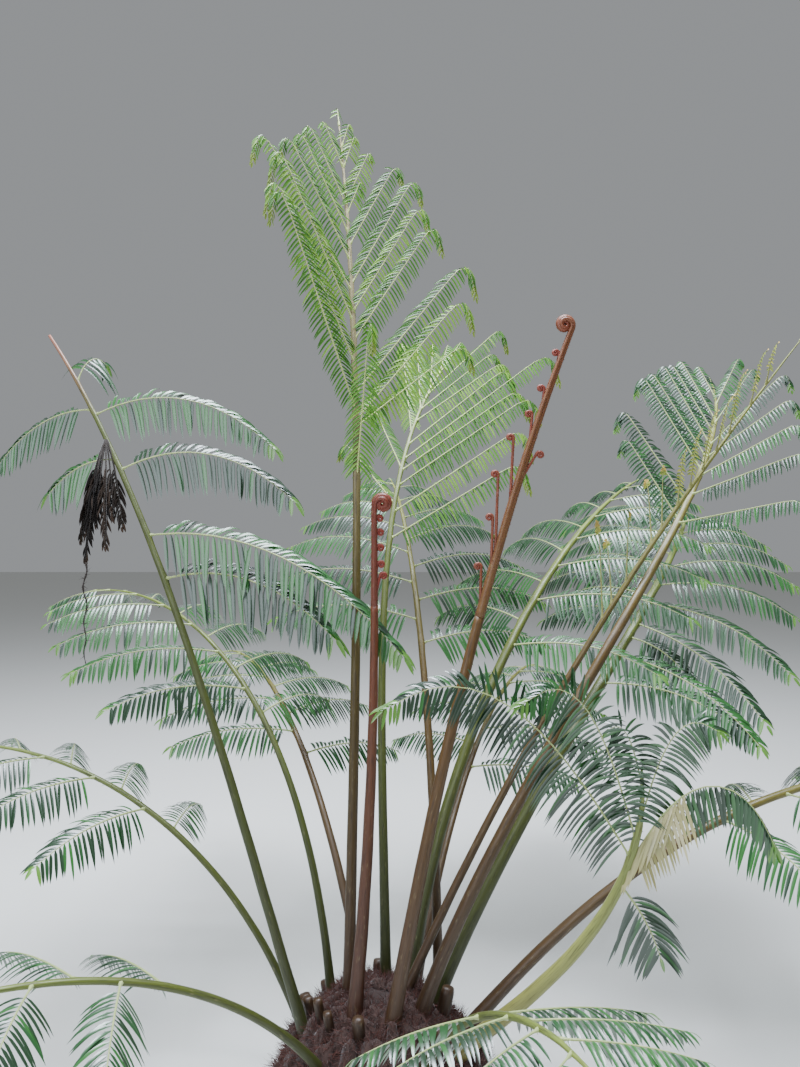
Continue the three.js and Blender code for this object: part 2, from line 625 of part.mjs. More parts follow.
const { frond, points } = limbs.find(({ frond: { name } }) => name === witheredFrond);
const { rachis } = blades.find(({ name }) => name === `blade_${witheredFrond}`);
addPart('withered_pinna', witheredSolid(frond, points, rachis), witheredBlack);

export default group;
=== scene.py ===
import math

import bpy
import numpy as np
from mathutils import Matrix, Vector, noise


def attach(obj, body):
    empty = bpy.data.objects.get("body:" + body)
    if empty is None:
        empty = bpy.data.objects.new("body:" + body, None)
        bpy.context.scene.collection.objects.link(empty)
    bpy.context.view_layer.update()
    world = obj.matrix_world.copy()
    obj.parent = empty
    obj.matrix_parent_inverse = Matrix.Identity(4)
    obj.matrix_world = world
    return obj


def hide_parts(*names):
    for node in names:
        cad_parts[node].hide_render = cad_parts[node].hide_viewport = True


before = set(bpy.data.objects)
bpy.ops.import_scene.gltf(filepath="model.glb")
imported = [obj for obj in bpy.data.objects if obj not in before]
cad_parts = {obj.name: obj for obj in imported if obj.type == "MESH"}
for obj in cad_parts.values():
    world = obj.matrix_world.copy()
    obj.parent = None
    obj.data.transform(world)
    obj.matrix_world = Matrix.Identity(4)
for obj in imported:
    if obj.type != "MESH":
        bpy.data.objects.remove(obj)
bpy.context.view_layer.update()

# King fern: the fronds, croziers and rootstock that stand in the frame's place
# Metres and degrees, +Z up, +X to the viewer's right, the viewer on the -Y side
up = np.array([0.0, 0.0, 1.0])


def mix(ends, share):
    return ends[0] + (ends[1] - ends[0]) * share


def unit(vectors):
    return vectors / np.linalg.norm(vectors, axis=-1, keepdims=True)


def heading(angle, rise=0.0):
    level = math.cos(math.radians(rise))
    turn = math.radians(angle)
    return np.array([level * math.cos(turn), level * math.sin(turn), math.sin(math.radians(rise))])


def squareTo(side, ahead):  # side with what runs along ahead taken out
    return unit(side - ahead * np.sum(side * ahead, axis=-1, keepdims=True))


def scatter(seed, step):  # repeatable, between -1 and 1
    wave = math.sin(seed * 12.9898 + step * 78.233) * 43758.5453
    return 2 * (wave - math.floor(wave)) - 1


# Camera, floor and light

cameraCare = {"place": (0.075, -3.0, 2.07), "lens": 27, "sensor": 36}
stageCare = {
    "floorHalf": 40, "floorColour": "#d9d9d4", "sky": "#f2f6fa", "skyStrength": 0.34,
    "lightColour": "#eaf2ff",
    "lights": {  # size, power, place and turn
        "roof": (4, 1900, (0, 0.5, 8), (0, 0, 0)), "fill": (6, 460, (-4, -6, 5), (60, 0, -33))},
}


def linear(hexCode):  # an sRGB hex colour as linear light
    parts = [int(hexCode[i:i + 2], 16) / 255 for i in (1, 3, 5)]
    return [p / 12.92 if p <= 0.04045 else ((p + 0.055) / 1.055) ** 2.4 for p in parts] + [1]


def feed(node, inputs):  # values, sockets, or nodes whose first live output is taken
    for name, value in inputs.items() if isinstance(inputs, dict) else enumerate(inputs):
        if isinstance(value, bpy.types.Node):
            value = next(socket for socket in value.outputs if socket.enabled)
        if isinstance(value, bpy.types.NodeSocket):
            node.id_data.links.new(value, node.inputs[name])
        else:
            node.inputs[name].default_value = value


def nodesOf(tree):  # a function that adds a node to the tree, its kind told without the family
    def add(kind, inputs=(), **settings):
        families = ("GeometryNode", "FunctionNode", "ShaderNode", "")
        family = next(family for family in families if hasattr(bpy.types, family + kind))
        node = tree.nodes.new(family + kind)
        for name, value in settings.items():
            setattr(node, name, value)
        feed(node, inputs)
        return node

    return add


def newMaterial(name):
    made = bpy.data.materials.new(name)
    made.use_nodes = True
    return made, nodesOf(made.node_tree), made.node_tree.nodes["Principled BSDF"]


def grainOf(add, place, size, detail, **more):  # a noise with grains of this size
    return add("TexNoise", {"Vector": place, "Scale": 1 / size, "Detail": detail, **more})


def blend(add, share, under, over):
    return add("Mix", {0: share, 6: under, 7: over}, data_type="RGBA")


def bump(add, height, strength, distance):
    return add("Bump", {"Strength": strength, "Distance": distance, "Height": height})


def link(data, name, place=(0, 0, 0), turn=(0, 0, 0)):
    made = bpy.data.objects.new(name, data)
    made.location = place
    made.rotation_euler = turn
    bpy.context.scene.collection.objects.link(made)
    return made


def makeCamera():
    lens = bpy.data.cameras.new("camera")
    lens.lens = cameraCare["lens"]
    lens.sensor_width = cameraCare["sensor"]
    lens.clip_end = 200
    bpy.context.scene.camera = link(lens, "camera", cameraCare["place"], (math.pi / 2, 0, 0))


def makeStage():
    half = stageCare["floorHalf"]
    floorMesh = bpy.data.meshes.new("floor")
    corners = [(-half, -half, 0), (half, -half, 0), (half, half, 0), (-half, half, 0)]
    floorMesh.from_pydata(corners, [], [(0, 1, 2, 3)])
    paint, _, surface = newMaterial("matt studio paint")
    feed(surface, {"Base Color": linear(stageCare["floorColour"]), "Roughness": 0.9})
    floorMesh.materials.append(paint)
    link(floorMesh, "floor")
    world = bpy.data.worlds.new("studio")
    world.use_nodes = True
    feed(world.node_tree.nodes["Background"],
         {"Color": linear(stageCare["sky"]), "Strength": stageCare["skyStrength"]})
    bpy.context.scene.world = world
    for name, (size, power, place, turn) in stageCare["lights"].items():
        light = bpy.data.lights.new(name, "AREA")
        light.size, light.energy = size, power
        light.color = linear(stageCare["lightColour"])[:3]
        link(light, name, place, [math.radians(angle) for angle in turn])


makeCamera()
makeStage()
print("stage: camera, floor and lights are set")

# Geometry Nodes and what they make


def newTree(name, **kinds):  # a tree with a geometry and inputs of these kinds
    tree = bpy.data.node_groups.new(name, "GeometryNodeTree")
    for label, kind in {"Geometry": "Geometry", **kinds}.items():
        tree.interface.new_socket(label, in_out="INPUT", socket_type=f"NodeSocket{kind}")
    tree.interface.new_socket("Geometry", in_out="OUTPUT", socket_type="NodeSocketGeometry")
    add = nodesOf(tree)
    return tree, add, add("NodeGroupInput").outputs


def closeTree(tree, add, geometry, given, smooth=True):  # the grown pieces joined, in their material
    if smooth:
        geometry = add("SetShadeSmooth", [geometry])
    joined = add("RealizeInstances", [geometry])
    skinned = add("SetMaterial", {"Geometry": joined, "Material": given["Material"]})
    add("NodeGroupOutput", [skinned])
    return tree


def reckon(add, operation, *values):
    return add("Math", values, operation=operation)


def carried(add, name, kind):  # what each point carries under this name
    return add("InputNamedAttribute", {"Name": name}, data_type=kind)


def stands(piece, slot, *nodes):  # the piece stands for these CAD nodes
    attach(piece, "root")
    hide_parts(*nodes)
    return piece


def grow(name, mesh, tree, values, slot, *nodes):  # what the tree makes of a mesh, as a plain mesh
    piece = link(mesh, name)
    modifier = piece.modifiers.new(tree.name, "NODES")
    modifier.node_group = tree
    for socket in tree.interface.items_tree:
        if socket.in_out == "INPUT" and socket.name in values:
            modifier[socket.identifier] = values[socket.name]
    seen = piece.evaluated_get(bpy.context.evaluated_depsgraph_get())
    grown = bpy.data.meshes.new_from_object(seen)
    piece.modifiers.clear()
    piece.data = grown
    for leftover in ("turn", "size", "droop", "shade", "along", "thick"):
        if leftover in grown.attributes:
            grown.attributes.remove(grown.attributes[leftover])
    return stands(piece, slot, *nodes)


# Lines that the stems follow, as in the part's solids

lineRule = {"steps": 48, "moundRadius": 0.38, "moundHeight": 0.34, "footDepth": 0.04}


def centreLine(frond):
    seat = np.array(frond["seat"])
    away = np.linalg.norm(seat) / lineRule["moundRadius"]
    top = lineRule["moundHeight"] * math.sqrt(1 - away ** 2)
    points = [np.array([*seat, top - lineRule["footDepth"]])]
    for step in range(lineRule["steps"]):
        share = (step + 0.5) / lineRule["steps"]
        rise = mix(frond["rise"], share ** frond["bend"])
        head = mix(frond["head"], share ** frond["sweep"])
        points.append(points[-1] + heading(head, rise) * frond["length"] / lineRule["steps"])
    return np.array(points)


def alongLine(points, shares):  # points of a centre line and directions there
    steps = lineRule["steps"]
    place = np.atleast_1d(shares) * steps
    step = np.clip(np.floor(place).astype(int), 0, steps - 1)
    spots = points[step] + (points[step + 1] - points[step]) * (place - step)[:, None]
    middle = np.clip(place - 0.5, 0, steps - 1)
    near = np.minimum(np.floor(middle).astype(int), steps - 2)
    lengths = np.diff(points, axis=0)
    ahead = lengths[near] + (lengths[near + 1] - lengths[near]) * (middle - near)[:, None]
    return spots, unit(ahead)


# Tubes and meshes


def tube(spots, ahead, radius, side, sides, share):
    # A closed tube through the spots; radius is one number a ring, or one for each of its sides
    outward = squareTo(side, ahead)
    around = np.cross(outward, ahead)
    turn = np.arange(sides) * 2 * math.pi / sides
    radius = np.broadcast_to(np.asarray(radius)[..., None] if np.ndim(radius) == 1 else radius,
                             (len(spots), sides))
    spoke = outward[:, None] * np.cos(turn)[:, None] + around[:, None] * np.sin(turn)[:, None]
    skin = spots[:, None] + spoke * radius[..., None]
    travelled = np.concatenate([[0], np.cumsum(np.linalg.norm(np.diff(spots, axis=0), axis=1))])
    grain = np.stack([radius * np.cos(turn), radius * np.sin(turn),
                      np.broadcast_to(travelled[:, None], radius.shape)], axis=-1)
    last = (len(spots) - 1) * sides
    total = last + sides
    pairs = [(corner, (corner + 1) % sides) for corner in range(sides)]
    faces = [(ring + a, ring + sides + a, ring + sides + b, ring + b)
             for ring in range(0, last, sides) for a, b in pairs]
    faces += [(total, a, b) for a, b in pairs] + [(total + 1, last + b, last + a) for a, b in pairs]
    return {
        "points": np.vstack([skin.reshape(-1, 3), spots[:1], spots[-1:]]),
        "faces": faces,
        "grain": np.vstack([grain.reshape(-1, 3), [[0, 0, 0]], [[0, 0, travelled[-1]]]]),
        "share": np.concatenate([np.repeat(share, sides), share[:1], share[-1:]]),
    }


def newMesh(name, points, edges=(), faces=(), **marks):  # marks are what the points carry
    mesh = bpy.data.meshes.new(name)
    mesh.from_pydata(np.asarray(points).tolist(), edges, faces)
    for mark, (kind, values) in marks.items():
        field = "vector" if kind == "FLOAT_VECTOR" else "value"
        mesh.attributes.new(mark, kind, "POINT").data.foreach_set(field, np.asarray(values).ravel())
    return mesh


def turnsOf(axes):  # turns of pieces, each told by where its X, Y and Z point
    return [tuple(Matrix(np.stack(three, axis=1).tolist()).to_quaternion()) for three in axes]


def placeSolid(name, parts, skin, slot, *nodes):  # several closed parts as one smooth piece
    faces, offset = [], 0
    for part in parts:
        faces += [[corner + offset for corner in face] for face in part["faces"]]
        offset += len(part["points"])
    mesh = newMesh(name, np.vstack([part["points"] for part in parts]), faces=faces,
                   grain=("FLOAT_VECTOR", np.vstack([part["grain"] for part in parts])),
                   share=("FLOAT", np.concatenate([part["share"] for part in parts])))
    mesh.shade_smooth()
    mesh.materials.append(skin)
    stands(link(mesh, name), slot, *nodes)
    return mesh


# Stems: stipes and rachises

stemRule = {
    "footSwell": 0.35, "swellReach": 0.09,  # extra radius at the foot
    "evenTaper": 0.55, "tipShare": 0.12, "tipPower": 4,
    "sides": 18, "ringEvery": 0.022,
    "flute": 0.03, "groove": 0.13, "wander": 0.025,  # relief, as shares of the radius
    "grooveStart": -0.15, "grooveReach": 0.25, "grooveWidth": 0.5,  # it deepens past the bare stem
    "waves": 23, "lobes": 3,  # of the wander, along and round the stem
    "knuckle": 0.2, "knuckleReach": 0.022,  # swelling where a side branch stands
}
# The dark feet and middles of these stem colours are partly the stems' own colour and partly painted
# shade: darkened for the shade that the crown casts on the lower stems.
stemLooks = {  # colours of the skin at foot, middle and tip, of its streaks, and where the middle is
    "olive": ("#2d310f", "#4c541a", "#7f8f40", "#20200c"),
    "oliveToPink": ("#2d310f", "#4f5820", "#9a6452", "#221f0d", 0.84),
    "redToOlive": ("#3b230f", "#4f4417", "#b3a77c", "#26170a"),
    "brown": ("#35210f", "#543f18", "#888e40", "#20140a"),
    "oldFoot": ("#21150c", "#40290f", "#4b3617", "#180f09"),
    "pale": ("#6e6832", "#878a48", "#768646", "#4c4826"),
    "red": ("#3b2010", "#552e14", "#6f351c", "#261308"),
    "redToTan": ("#3b2510", "#5a3f19", "#6a4420", "#2b1b0c"),
    "redHead": ("#66301c", "#75301d", "#822b1c", "#522414"),
    "tanHead": ("#6c4d26", "#744526", "#822f20", "#553014"),
}
stemGrain = {  # metres: width and stretch of the streaks and of the paler flecks, and their relief
    "streak": (0.0045, 16), "fleck": (0.006, 5), "fleckColour": "#a89f74", "relief": 0.0012,
    # From what noise to what noise, and the share of the colour or the roughness that it gives
    "darker": (0.48, 0.75, 0.0, 0.8), "paler": (0.64, 0.82, 0.0, 0.2),
    "roughness": (0.3, 0.7, 0.36, 0.6),
}


def limbRadius(frond, share):
    swell = 1 + stemRule["footSwell"] * np.exp(-share * frond["length"] / stemRule["swellReach"])
    tip = frond.get("tipShare", stemRule["tipShare"])
    late = (1 - stemRule["evenTaper"] - tip) * share ** stemRule["tipPower"]
    return frond["thick"] / 2 * (1 - stemRule["evenTaper"] * share - late) * swell


def stemMaterial(kind):
    # Smooth green stem skin: darker streaks run along it, with soft pale flecks between them
    foot, middle, tip, dark, *place = stemLooks[kind]
    made, add, surface = newMaterial(f"fern stem skin {kind}")
    # The ramp from a dark foot to a paler tip is partly the stem's own colour and partly painted shade,
    # darker low down where the crown shades the stems.
    share = add("Attribute", attribute_name="share").outputs["Fac"]
    ramp = add("ValToRGB", [share])
    ramp.color_ramp.elements[0].color = linear(foot)
    ramp.color_ramp.elements[1].color = linear(tip)
    ramp.color_ramp.elements.new((place or [0.45])[0]).color = linear(middle)
    grain = add("Attribute", attribute_name="grain").outputs["Vector"]
    marks = []
    for mark, detail in (("streak", 3.0), ("fleck", 1.0)):
        size, stretch = stemGrain[mark]
        long = add("Mapping", {"Vector": grain, "Scale": (1, 1, 1 / stretch)})
        marks.append(grainOf(add, long, size, detail))
    streak, fleck = marks
    darker = add("MapRange", [streak, *stemGrain["darker"]])
    paler = add("MapRange", [fleck, *stemGrain["paler"]])
    skin = blend(add, darker, ramp, linear(dark))
    feed(surface, {
        "Base Color": blend(add, paler, skin, linear(stemGrain["fleckColour"])),
        "Roughness": add("MapRange", [streak, *stemGrain["roughness"]]),
        "Normal": bump(add, streak, 0.5, stemGrain["relief"])})
    return made


def stemPart(frond, points, pinnae, seed, ends=(0, 1)):  # a stem between two shares of its line
    rule = stemRule
    length = frond["length"] * (ends[1] - ends[0])
    share = np.linspace(*ends, round(length / rule["ringEvery"]))
    spots, ahead = alongLine(points, share)
    turn = np.arange(rule["sides"]) * 2 * math.pi / rule["sides"]
    shape = 1 + rule["flute"] * np.cos(2 * turn)[None]
    wave = np.sin(share * frond["length"] * rule["waves"] + seed)[:, None]
    shape = shape + rule["wander"] * wave * np.cos(rule["lobes"] * turn + seed)[None]
    deeper = (share - frond["bare"] - rule["grooveStart"]) / rule["grooveReach"]
    upperside = (turn - 1.5 * math.pi)[None]
    groove = np.clip(deeper, 0, 1)[:, None] * np.exp(-(upperside / rule["grooveWidth"]) ** 2)
    shape = shape - rule["groove"] * groove
    for pinna in pinnae:
        near = np.exp(-((share - pinna["place"]) * frond["length"] / rule["knuckleReach"]) ** 2)
        facing = np.maximum(0, pinna["turn"] * np.cos(turn))
        shape = shape + rule["knuckle"] * near[:, None] * facing[None]
    radius = limbRadius(frond, share)[:, None] * shape
    return tube(spots, ahead, radius, heading(frond.get("across", frond.get("hookSide"))),
                rule["sides"], share)


def fibreMaterial(name, dark, light, grain, roughness):
    # Dry plant fibre, matted and dull, paler where it is frayed
    made, add, surface = newMaterial(name)
    tuft = grainOf(add, add("TexCoord").outputs["Object"], grain, 4.0, Roughness=0.65)
    feed(surface, {
        "Base Color": blend(add, tuft, linear(dark), linear(light)), "Roughness": roughness,
        "Sheen Weight": 0.2, "Normal": bump(add, tuft, 0.6, grain / 4)})
    return made


stemSkins = {kind: stemMaterial(kind) for kind in stemLooks}
print("stem skins are made")

# Side branches: the pinnae of a frond

pinnaRule = {
    "bladeStart": 0.02, "tipSink": 0.025, "pairSpacing": 0.92,
    "firstLength": 0.82, "longestPlace": 0.2, "tipLoss": 0.7, "tipLossPower": 1.6,
    "widthLoss": 0.3, "ribLoss": 0.35,
    "skyward": 0.45, "angleScatter": 4, "lengthScatter": 0.06,
    "stepLength": 0.27, "leastSteps": 3, "mostSteps": 5, "endShare": 0.6,
    "louver": 20,  # raises the forward leaflets above those of the next pinna
    "clearance": 0.012, "nudges": (0, 8, -8, 16, -16, 24),  # turned up or down to clear a stem
}
ribRule = {
    "stalk": 0.055, "radius": 0.0042, "tipRadius": 0.0012, "sides": 6,
    "knuckle": 0.0085, "knuckleEnd": 0.03,  # the swollen joint at its foot
    "knuckleSteps": (0, 0.5, 1),  # shares of the joint at which it has points
    "fineSteps": 40, "rings": 16, "reach": 0.96,  # the share of the pinna that it runs through
}


def spacedPinnae(frond):  # share along the blade, side, angle and length of each side branch
    rule = pinnaRule
    last = 2 * frond["pairs"]
    rows = []
    for index in range(last + 1):
        share = index / last
        opening = mix((rule["firstLength"], 1), min(1, share / rule["longestPlace"]))
        shortening = opening * (1 - rule["tipLoss"] * share ** rule["tipLossPower"])
        side = -1 if index % 2 == 0 else 1
        rows.append((share, side, mix(frond["angle"], share), frond["span"] * shortening))
    return rows


def pinnaeOf(name, frond, points):
    rule = pinnaRule
    across = heading(frond["across"])
    last = 1 - frond.get("bareTip", rule["tipSink"] / frond["length"])
    pinnae = []
    for index, row in enumerate(sideBranches.get(name) or spacedPinnae(frond)):
        share, turn, angle, length, *droop = row
        place = mix((frond["bare"] + rule["bladeStart"], last), share ** rule["pairSpacing"])
        spots, aheads = alongLine(points, place)
        ahead = aheads[0]
        side = turn * squareTo(across, ahead)
        upper = unit(np.cross(ahead, across))
        seed = round(frond["seat"][0] * 1000) + index
        angle = math.radians(angle + rule["angleScatter"] * scatter(seed, 1))
        out = ahead * math.cos(angle) + side * math.sin(angle)
        out = unit(out + upper * math.tan(math.radians(frond.get("lift", 0))))
        atTip = share == 1
        length = length * (1 + rule["lengthScatter"] * scatter(seed, 2))
        steps = min(max(round(length / rule["stepLength"]), rule["leastSteps"]), rule["mostSteps"])
        coarse = (length - ribRule["stalk"]) / (steps + rule["endShare"])
        pinna = {
            "root": spots[0], "place": place, "turn": turn, "share": share,
            "ahead": ahead if atTip else out, "towards": side if atTip else ahead,
            "upper": unit(upper + (up - upper) * rule["skyward"]),
            "length": length, "droop": (droop or [frond["droop"]])[0], "hang": frond["hang"],
            "stalk": ribRule["stalk"], "width": frond.get("width", 1) * (1 - rule["widthLoss"] * share),
            "size": 1 - rule["ribLoss"] * share,
            "lag": coarse / 2,  # the solids' straight lengths bend at their ends
            **{key: frond[key] for key in ("limp", "cover", "fall", "step") if key in frond},
        }
        if clearPinna(pinna, name):
            pinnae.append(pinna)
    return pinnae


def clearPinna(pinna, name):  # whether a nudge keeps its rib off every other stem
    straight = pinna["ahead"]
    marks = np.linspace(pinna["stalk"], pinna["length"], ribRule["rings"])
    for nudge in pinnaRule["nudges"]:
        pinna["ahead"] = unit(straight + up * math.tan(math.radians(nudge)))
        if not touching(ribPlaces(pinna, marks)[0], pinnaRule["clearance"], name).any():
            return True
    return False


def ribPlaces(pinna, marks):  # points of a pinna's rib at these distances, with directions
    def direction(distances):
        share = np.clip((distances + pinna["lag"]) / pinna["length"], 0, 1)
        return unit(pinna["ahead"] - up * (pinna["droop"] * share ** pinna["hang"])[:, None])

    fine = np.linspace(0, pinna["length"], ribRule["fineSteps"] + 1)
    lengths = direction((fine[1:] + fine[:-1]) / 2) * np.diff(fine)[:, None]
    line = pinna["root"] + np.vstack([np.zeros(3), np.cumsum(lengths, axis=0)])
    spots = np.stack([np.interp(marks, fine, line[:, axis]) for axis in range(3)], axis=1)
    ahead = direction(marks)
    upper = squareTo(pinna["upper"], ahead)
    left = np.cross(upper, ahead)
    tilt = math.radians(pinnaRule["louver"])
    raised = np.sign(left @ pinna["towards"])[:, None] * math.sin(tilt)
    return spots, ahead, left * math.cos(tilt) + upper * raised, upper * math.cos(tilt) - left * raised


def ribTree():
    # Each line of edges becomes a round rib, as thick as its points say
    tree, add, given = newTree("ribs", Sides="Int", Material="Material")
    line = add("MeshToCurve", [given["Geometry"]])
    ring = add("CurvePrimitiveCircle", {"Resolution": given["Sides"], "Radius": 1.0})
    rib = add("CurveToMesh", {
        "Curve": line, "Profile Curve": ring, "Scale": carried(add, "thick", "FLOAT"),
        "Fill Caps": True})
    return closeTree(tree, add, rib, given)


def ribMesh(name, pinnae):  # a line of edges for each rib, with its thickness
    spots, edges, thick = [], [], []
    for pinna in pinnae:
        foot = np.array(ribRule["knuckleSteps"]) * ribRule["knuckleEnd"]
        out = np.linspace(ribRule["stalk"], pinna["length"] * ribRule["reach"], ribRule["rings"])
        marks = np.concatenate([foot, out])
        joint = np.array([ribRule["knuckle"]] * 2 + [ribRule["radius"]])
        taper = mix((ribRule["radius"], ribRule["tipRadius"]), (out - out[0]) / (out[-1] - out[0]))
        first = len(thick)
        spots.append(ribPlaces(pinna, marks)[0])
        thick += list(np.concatenate([joint, taper]) * pinna["size"])
        edges += [(point, point + 1) for point in range(first, len(thick) - 1)]
    return newMesh(name, np.vstack(spots), edges, thick=("FLOAT", thick))


ribSkins = {
    "mature": fibreMaterial("mature rib, pale green bark", "#7f9150", "#b6c07e", 0.03, 0.45),
    "young": fibreMaterial("young rib, yellow green", "#93a852", "#c3cd80", 0.03, 0.45),
    "unrolling": fibreMaterial("unrolling rib, olive", "#6f7038", "#9a9a55", 0.03, 0.5),
    "dead": fibreMaterial("dead rib, black brown", "#17110d", "#33261b", 0.02, 0.9),
}
growRibs = ribTree()

# Leaflets

leafletRule = {
    "reach": 0.132, "first": 0.72, "longestPlace": 0.3, "tipLoss": 0.7, "tipPower": 3,
    "spacing": 0.0205, "least": 0.6,  # least is the share of it that narrow leaflets keep
    "step": 1, "starts": {1: 0.5, -1: 0.85},  # in spacings, from pair to pair and to each side's first
    "cover": 0.66,  # a leaflet's width, as a share of the spacing
    "lean": (14, 40),  # degrees towards the pinna's tip, from first to last
    "limp": 0.28, "fall": 0.46,  # how far it hangs at its foot, and bends down further out
    "wiltedLimp": 2.2, "bud": {"start": 0.86, "step": 0.35},
    "turnScatter": 5, "liftScatter": 0.05, "lengthScatter": 0.06,
    "roll": 0.4, "rollScatter": 0.14,  # how far its face turns outward, and how unevenly
    "fold": 0.3, "deadFold": 1.1, "clearance": 0.006, "seed": 7,
    "endRoom": 0.6,  # share of the end leaflet that stands within the pinna's length
    # The deep, middle and light tones are partly tone that differs at random and partly painted shade
    # and painted light: darker and paler copies of one green stand for pinnae and leaflets in shade and
    # in light.
    "shadeShares": (0.35, 0.4, 0.25),  # how many pinnae are deep, middle and light
    "strayShade": 0.4,  # share of a pinna's leaflets that have a tone of their own
    "tipPlace": 0.92,  # further out the leaflets have the colour of the pinna's tip
}
leafBlade = {
    "lengthPoints": 7, "acrossPoints": 3,
    "outline": [(0, 0.2), (0.06, 0.7), (0.2, 0.97), (0.5, 1), (0.74, 0.8), (0.9, 0.42), (1, 0)],
}
leafShades = ("deep", "middle", "light", "tip")
# The deep, middle and light columns are darker and paler copies of one colour; for the green leaves
# they are partly random tone and partly painted shade and painted light.
leafLooks = {  # base colours of the cuticle, dealt out by pinna; roughness, gloss and wax coat
    "mature": ("#0e3317", "#164a20", "#27652a", "#548a32", 0.34, 0.9, 0.7),
    "young": ("#3a6f1f", "#4f8a28", "#6c9e34", "#6f8a34", 0.42, 0.5, 0.12),
    "unrolling": ("#76893a", "#8c9a45", "#a3a654", "#a8964f", 0.5, 0.5, 0),
    "dying": ("#9a9c6c", "#b6b88c", "#cfd1b0", "#8a8d4c", 0.6, 0.5, 0),
    "dead": ("#17110e", "#231a14", "#33271e", "#3b2d22", 0.85, 0.5, 0),
}
leafGrain = {
    "cloud": 0.11, "ripple": 0.012,  # metres from one change of tone to the next
    "darker": (0.7, 0.7, 0.7), "yellower": (1.35, 1.15, 0.9),  # the base colour's parts times this
    "relief": 0.002, "strength": 0.25, "coatRoughness": 0.28,
}


def leafMaterial(kind, shade):
    # Living leaf under a waxy cuticle: the roof light lies on it as a broad whitish sheen
    *colours, roughness, gloss, coat = leafLooks[kind]
    made, add, surface = newMaterial(f"{kind} leaf cuticle {shade}")
    place = add("TexCoord").outputs["Object"]
    base = linear(colours[leafShades.index(shade)])
    tones = [[part * times for part, times in zip(base, leafGrain[tone])] + [1]
             for tone in ("darker", "yellower")]
    ripple = grainOf(add, place, leafGrain["ripple"], 2.0)
    feed(surface, {
        "Base Color": blend(add, grainOf(add, place, leafGrain["cloud"], 2.0), *tones),
        "Normal": bump(add, ripple, leafGrain["strength"], leafGrain["relief"]),
        "Roughness": roughness, "IOR": 1.45, "Specular IOR Level": gloss,
        "Coat Weight": coat, "Coat Roughness": leafGrain["coatRoughness"]})
    return made


def leafletTree():
    # Each point carries a leaflet's turn, size, droop and shade; the tree grows its blade there
    labels = [shade.capitalize() for shade in leafShades]
    tree, add, given = newTree("leaflets", Fold="Float", **dict.fromkeys(labels, "Material"))
    grid = add("MeshGrid", {
        "Size X": 1.0, "Size Y": 1.0, "Vertices X": leafBlade["lengthPoints"],
        "Vertices Y": leafBlade["acrossPoints"]})
    place = add("SeparateXYZ", [add("InputPosition")]).outputs
    along = reckon(add, "ADD", place["X"], 0.5)
    outline = add("FloatCurve", {"Value": along})
    curve = outline.mapping.curves[0]
    for end in (0, -1):
        curve.points[end].location = leafBlade["outline"][end]
    for bend in leafBlade["outline"][1:-1]:
        curve.points.new(*bend)
    outline.mapping.update()
    across = reckon(add, "MULTIPLY", place["Y"], outline)
    raised = reckon(add, "MULTIPLY", reckon(add, "ABSOLUTE", across), given["Fold"])
    shaped = add("CombineXYZ", [along, across, raised])
    blade = add("SetPosition", {"Geometry": grid, "Position": shaped})
    pointed = add("MergeByDistance", {"Geometry": blade, "Distance": 0.001})
    marked = add("StoreNamedAttribute",
                 {"Geometry": pointed, "Name": "along", "Value": place["X"]}, data_type="FLOAT")
    leaflets = add("InstanceOnPoints", {
        "Points": given["Geometry"], "Instance": marked,
        "Rotation": carried(add, "turn", "QUATERNION"), "Scale": carried(add, "size", "FLOAT_VECTOR")})
    loose = add("RealizeInstances", [leaflets])
    further = reckon(add, "POWER", carried(add, "along", "FLOAT"), 2.0)
    fall = reckon(add, "MULTIPLY", further, carried(add, "droop", "FLOAT"))
    offset = add("CombineXYZ", {"Z": reckon(add, "MULTIPLY", fall, -1.0)})
    hung = add("SetPosition", {"Geometry": loose, "Offset": offset})
    smooth = add("SetShadeSmooth", [hung])
    result = add("RealizeInstances", [smooth])
    shade = carried(add, "shade", "INT")
    for index, label in enumerate(labels):
        chosen = add("Compare", {2: shade, 3: index}, data_type="INT", operation="EQUAL")
        result = add("SetMaterial", [result, chosen, given[label]])
    add("NodeGroupOutput", [result])
    return tree


def leafletLengths(pinna, share):
    rule = leafletRule
    opening = mix((rule["first"], 1), np.minimum(1, share / rule["longestPlace"]))
    return rule["reach"] * pinna["width"] * opening * (1 - rule["tipLoss"] * share ** rule["tipPower"])


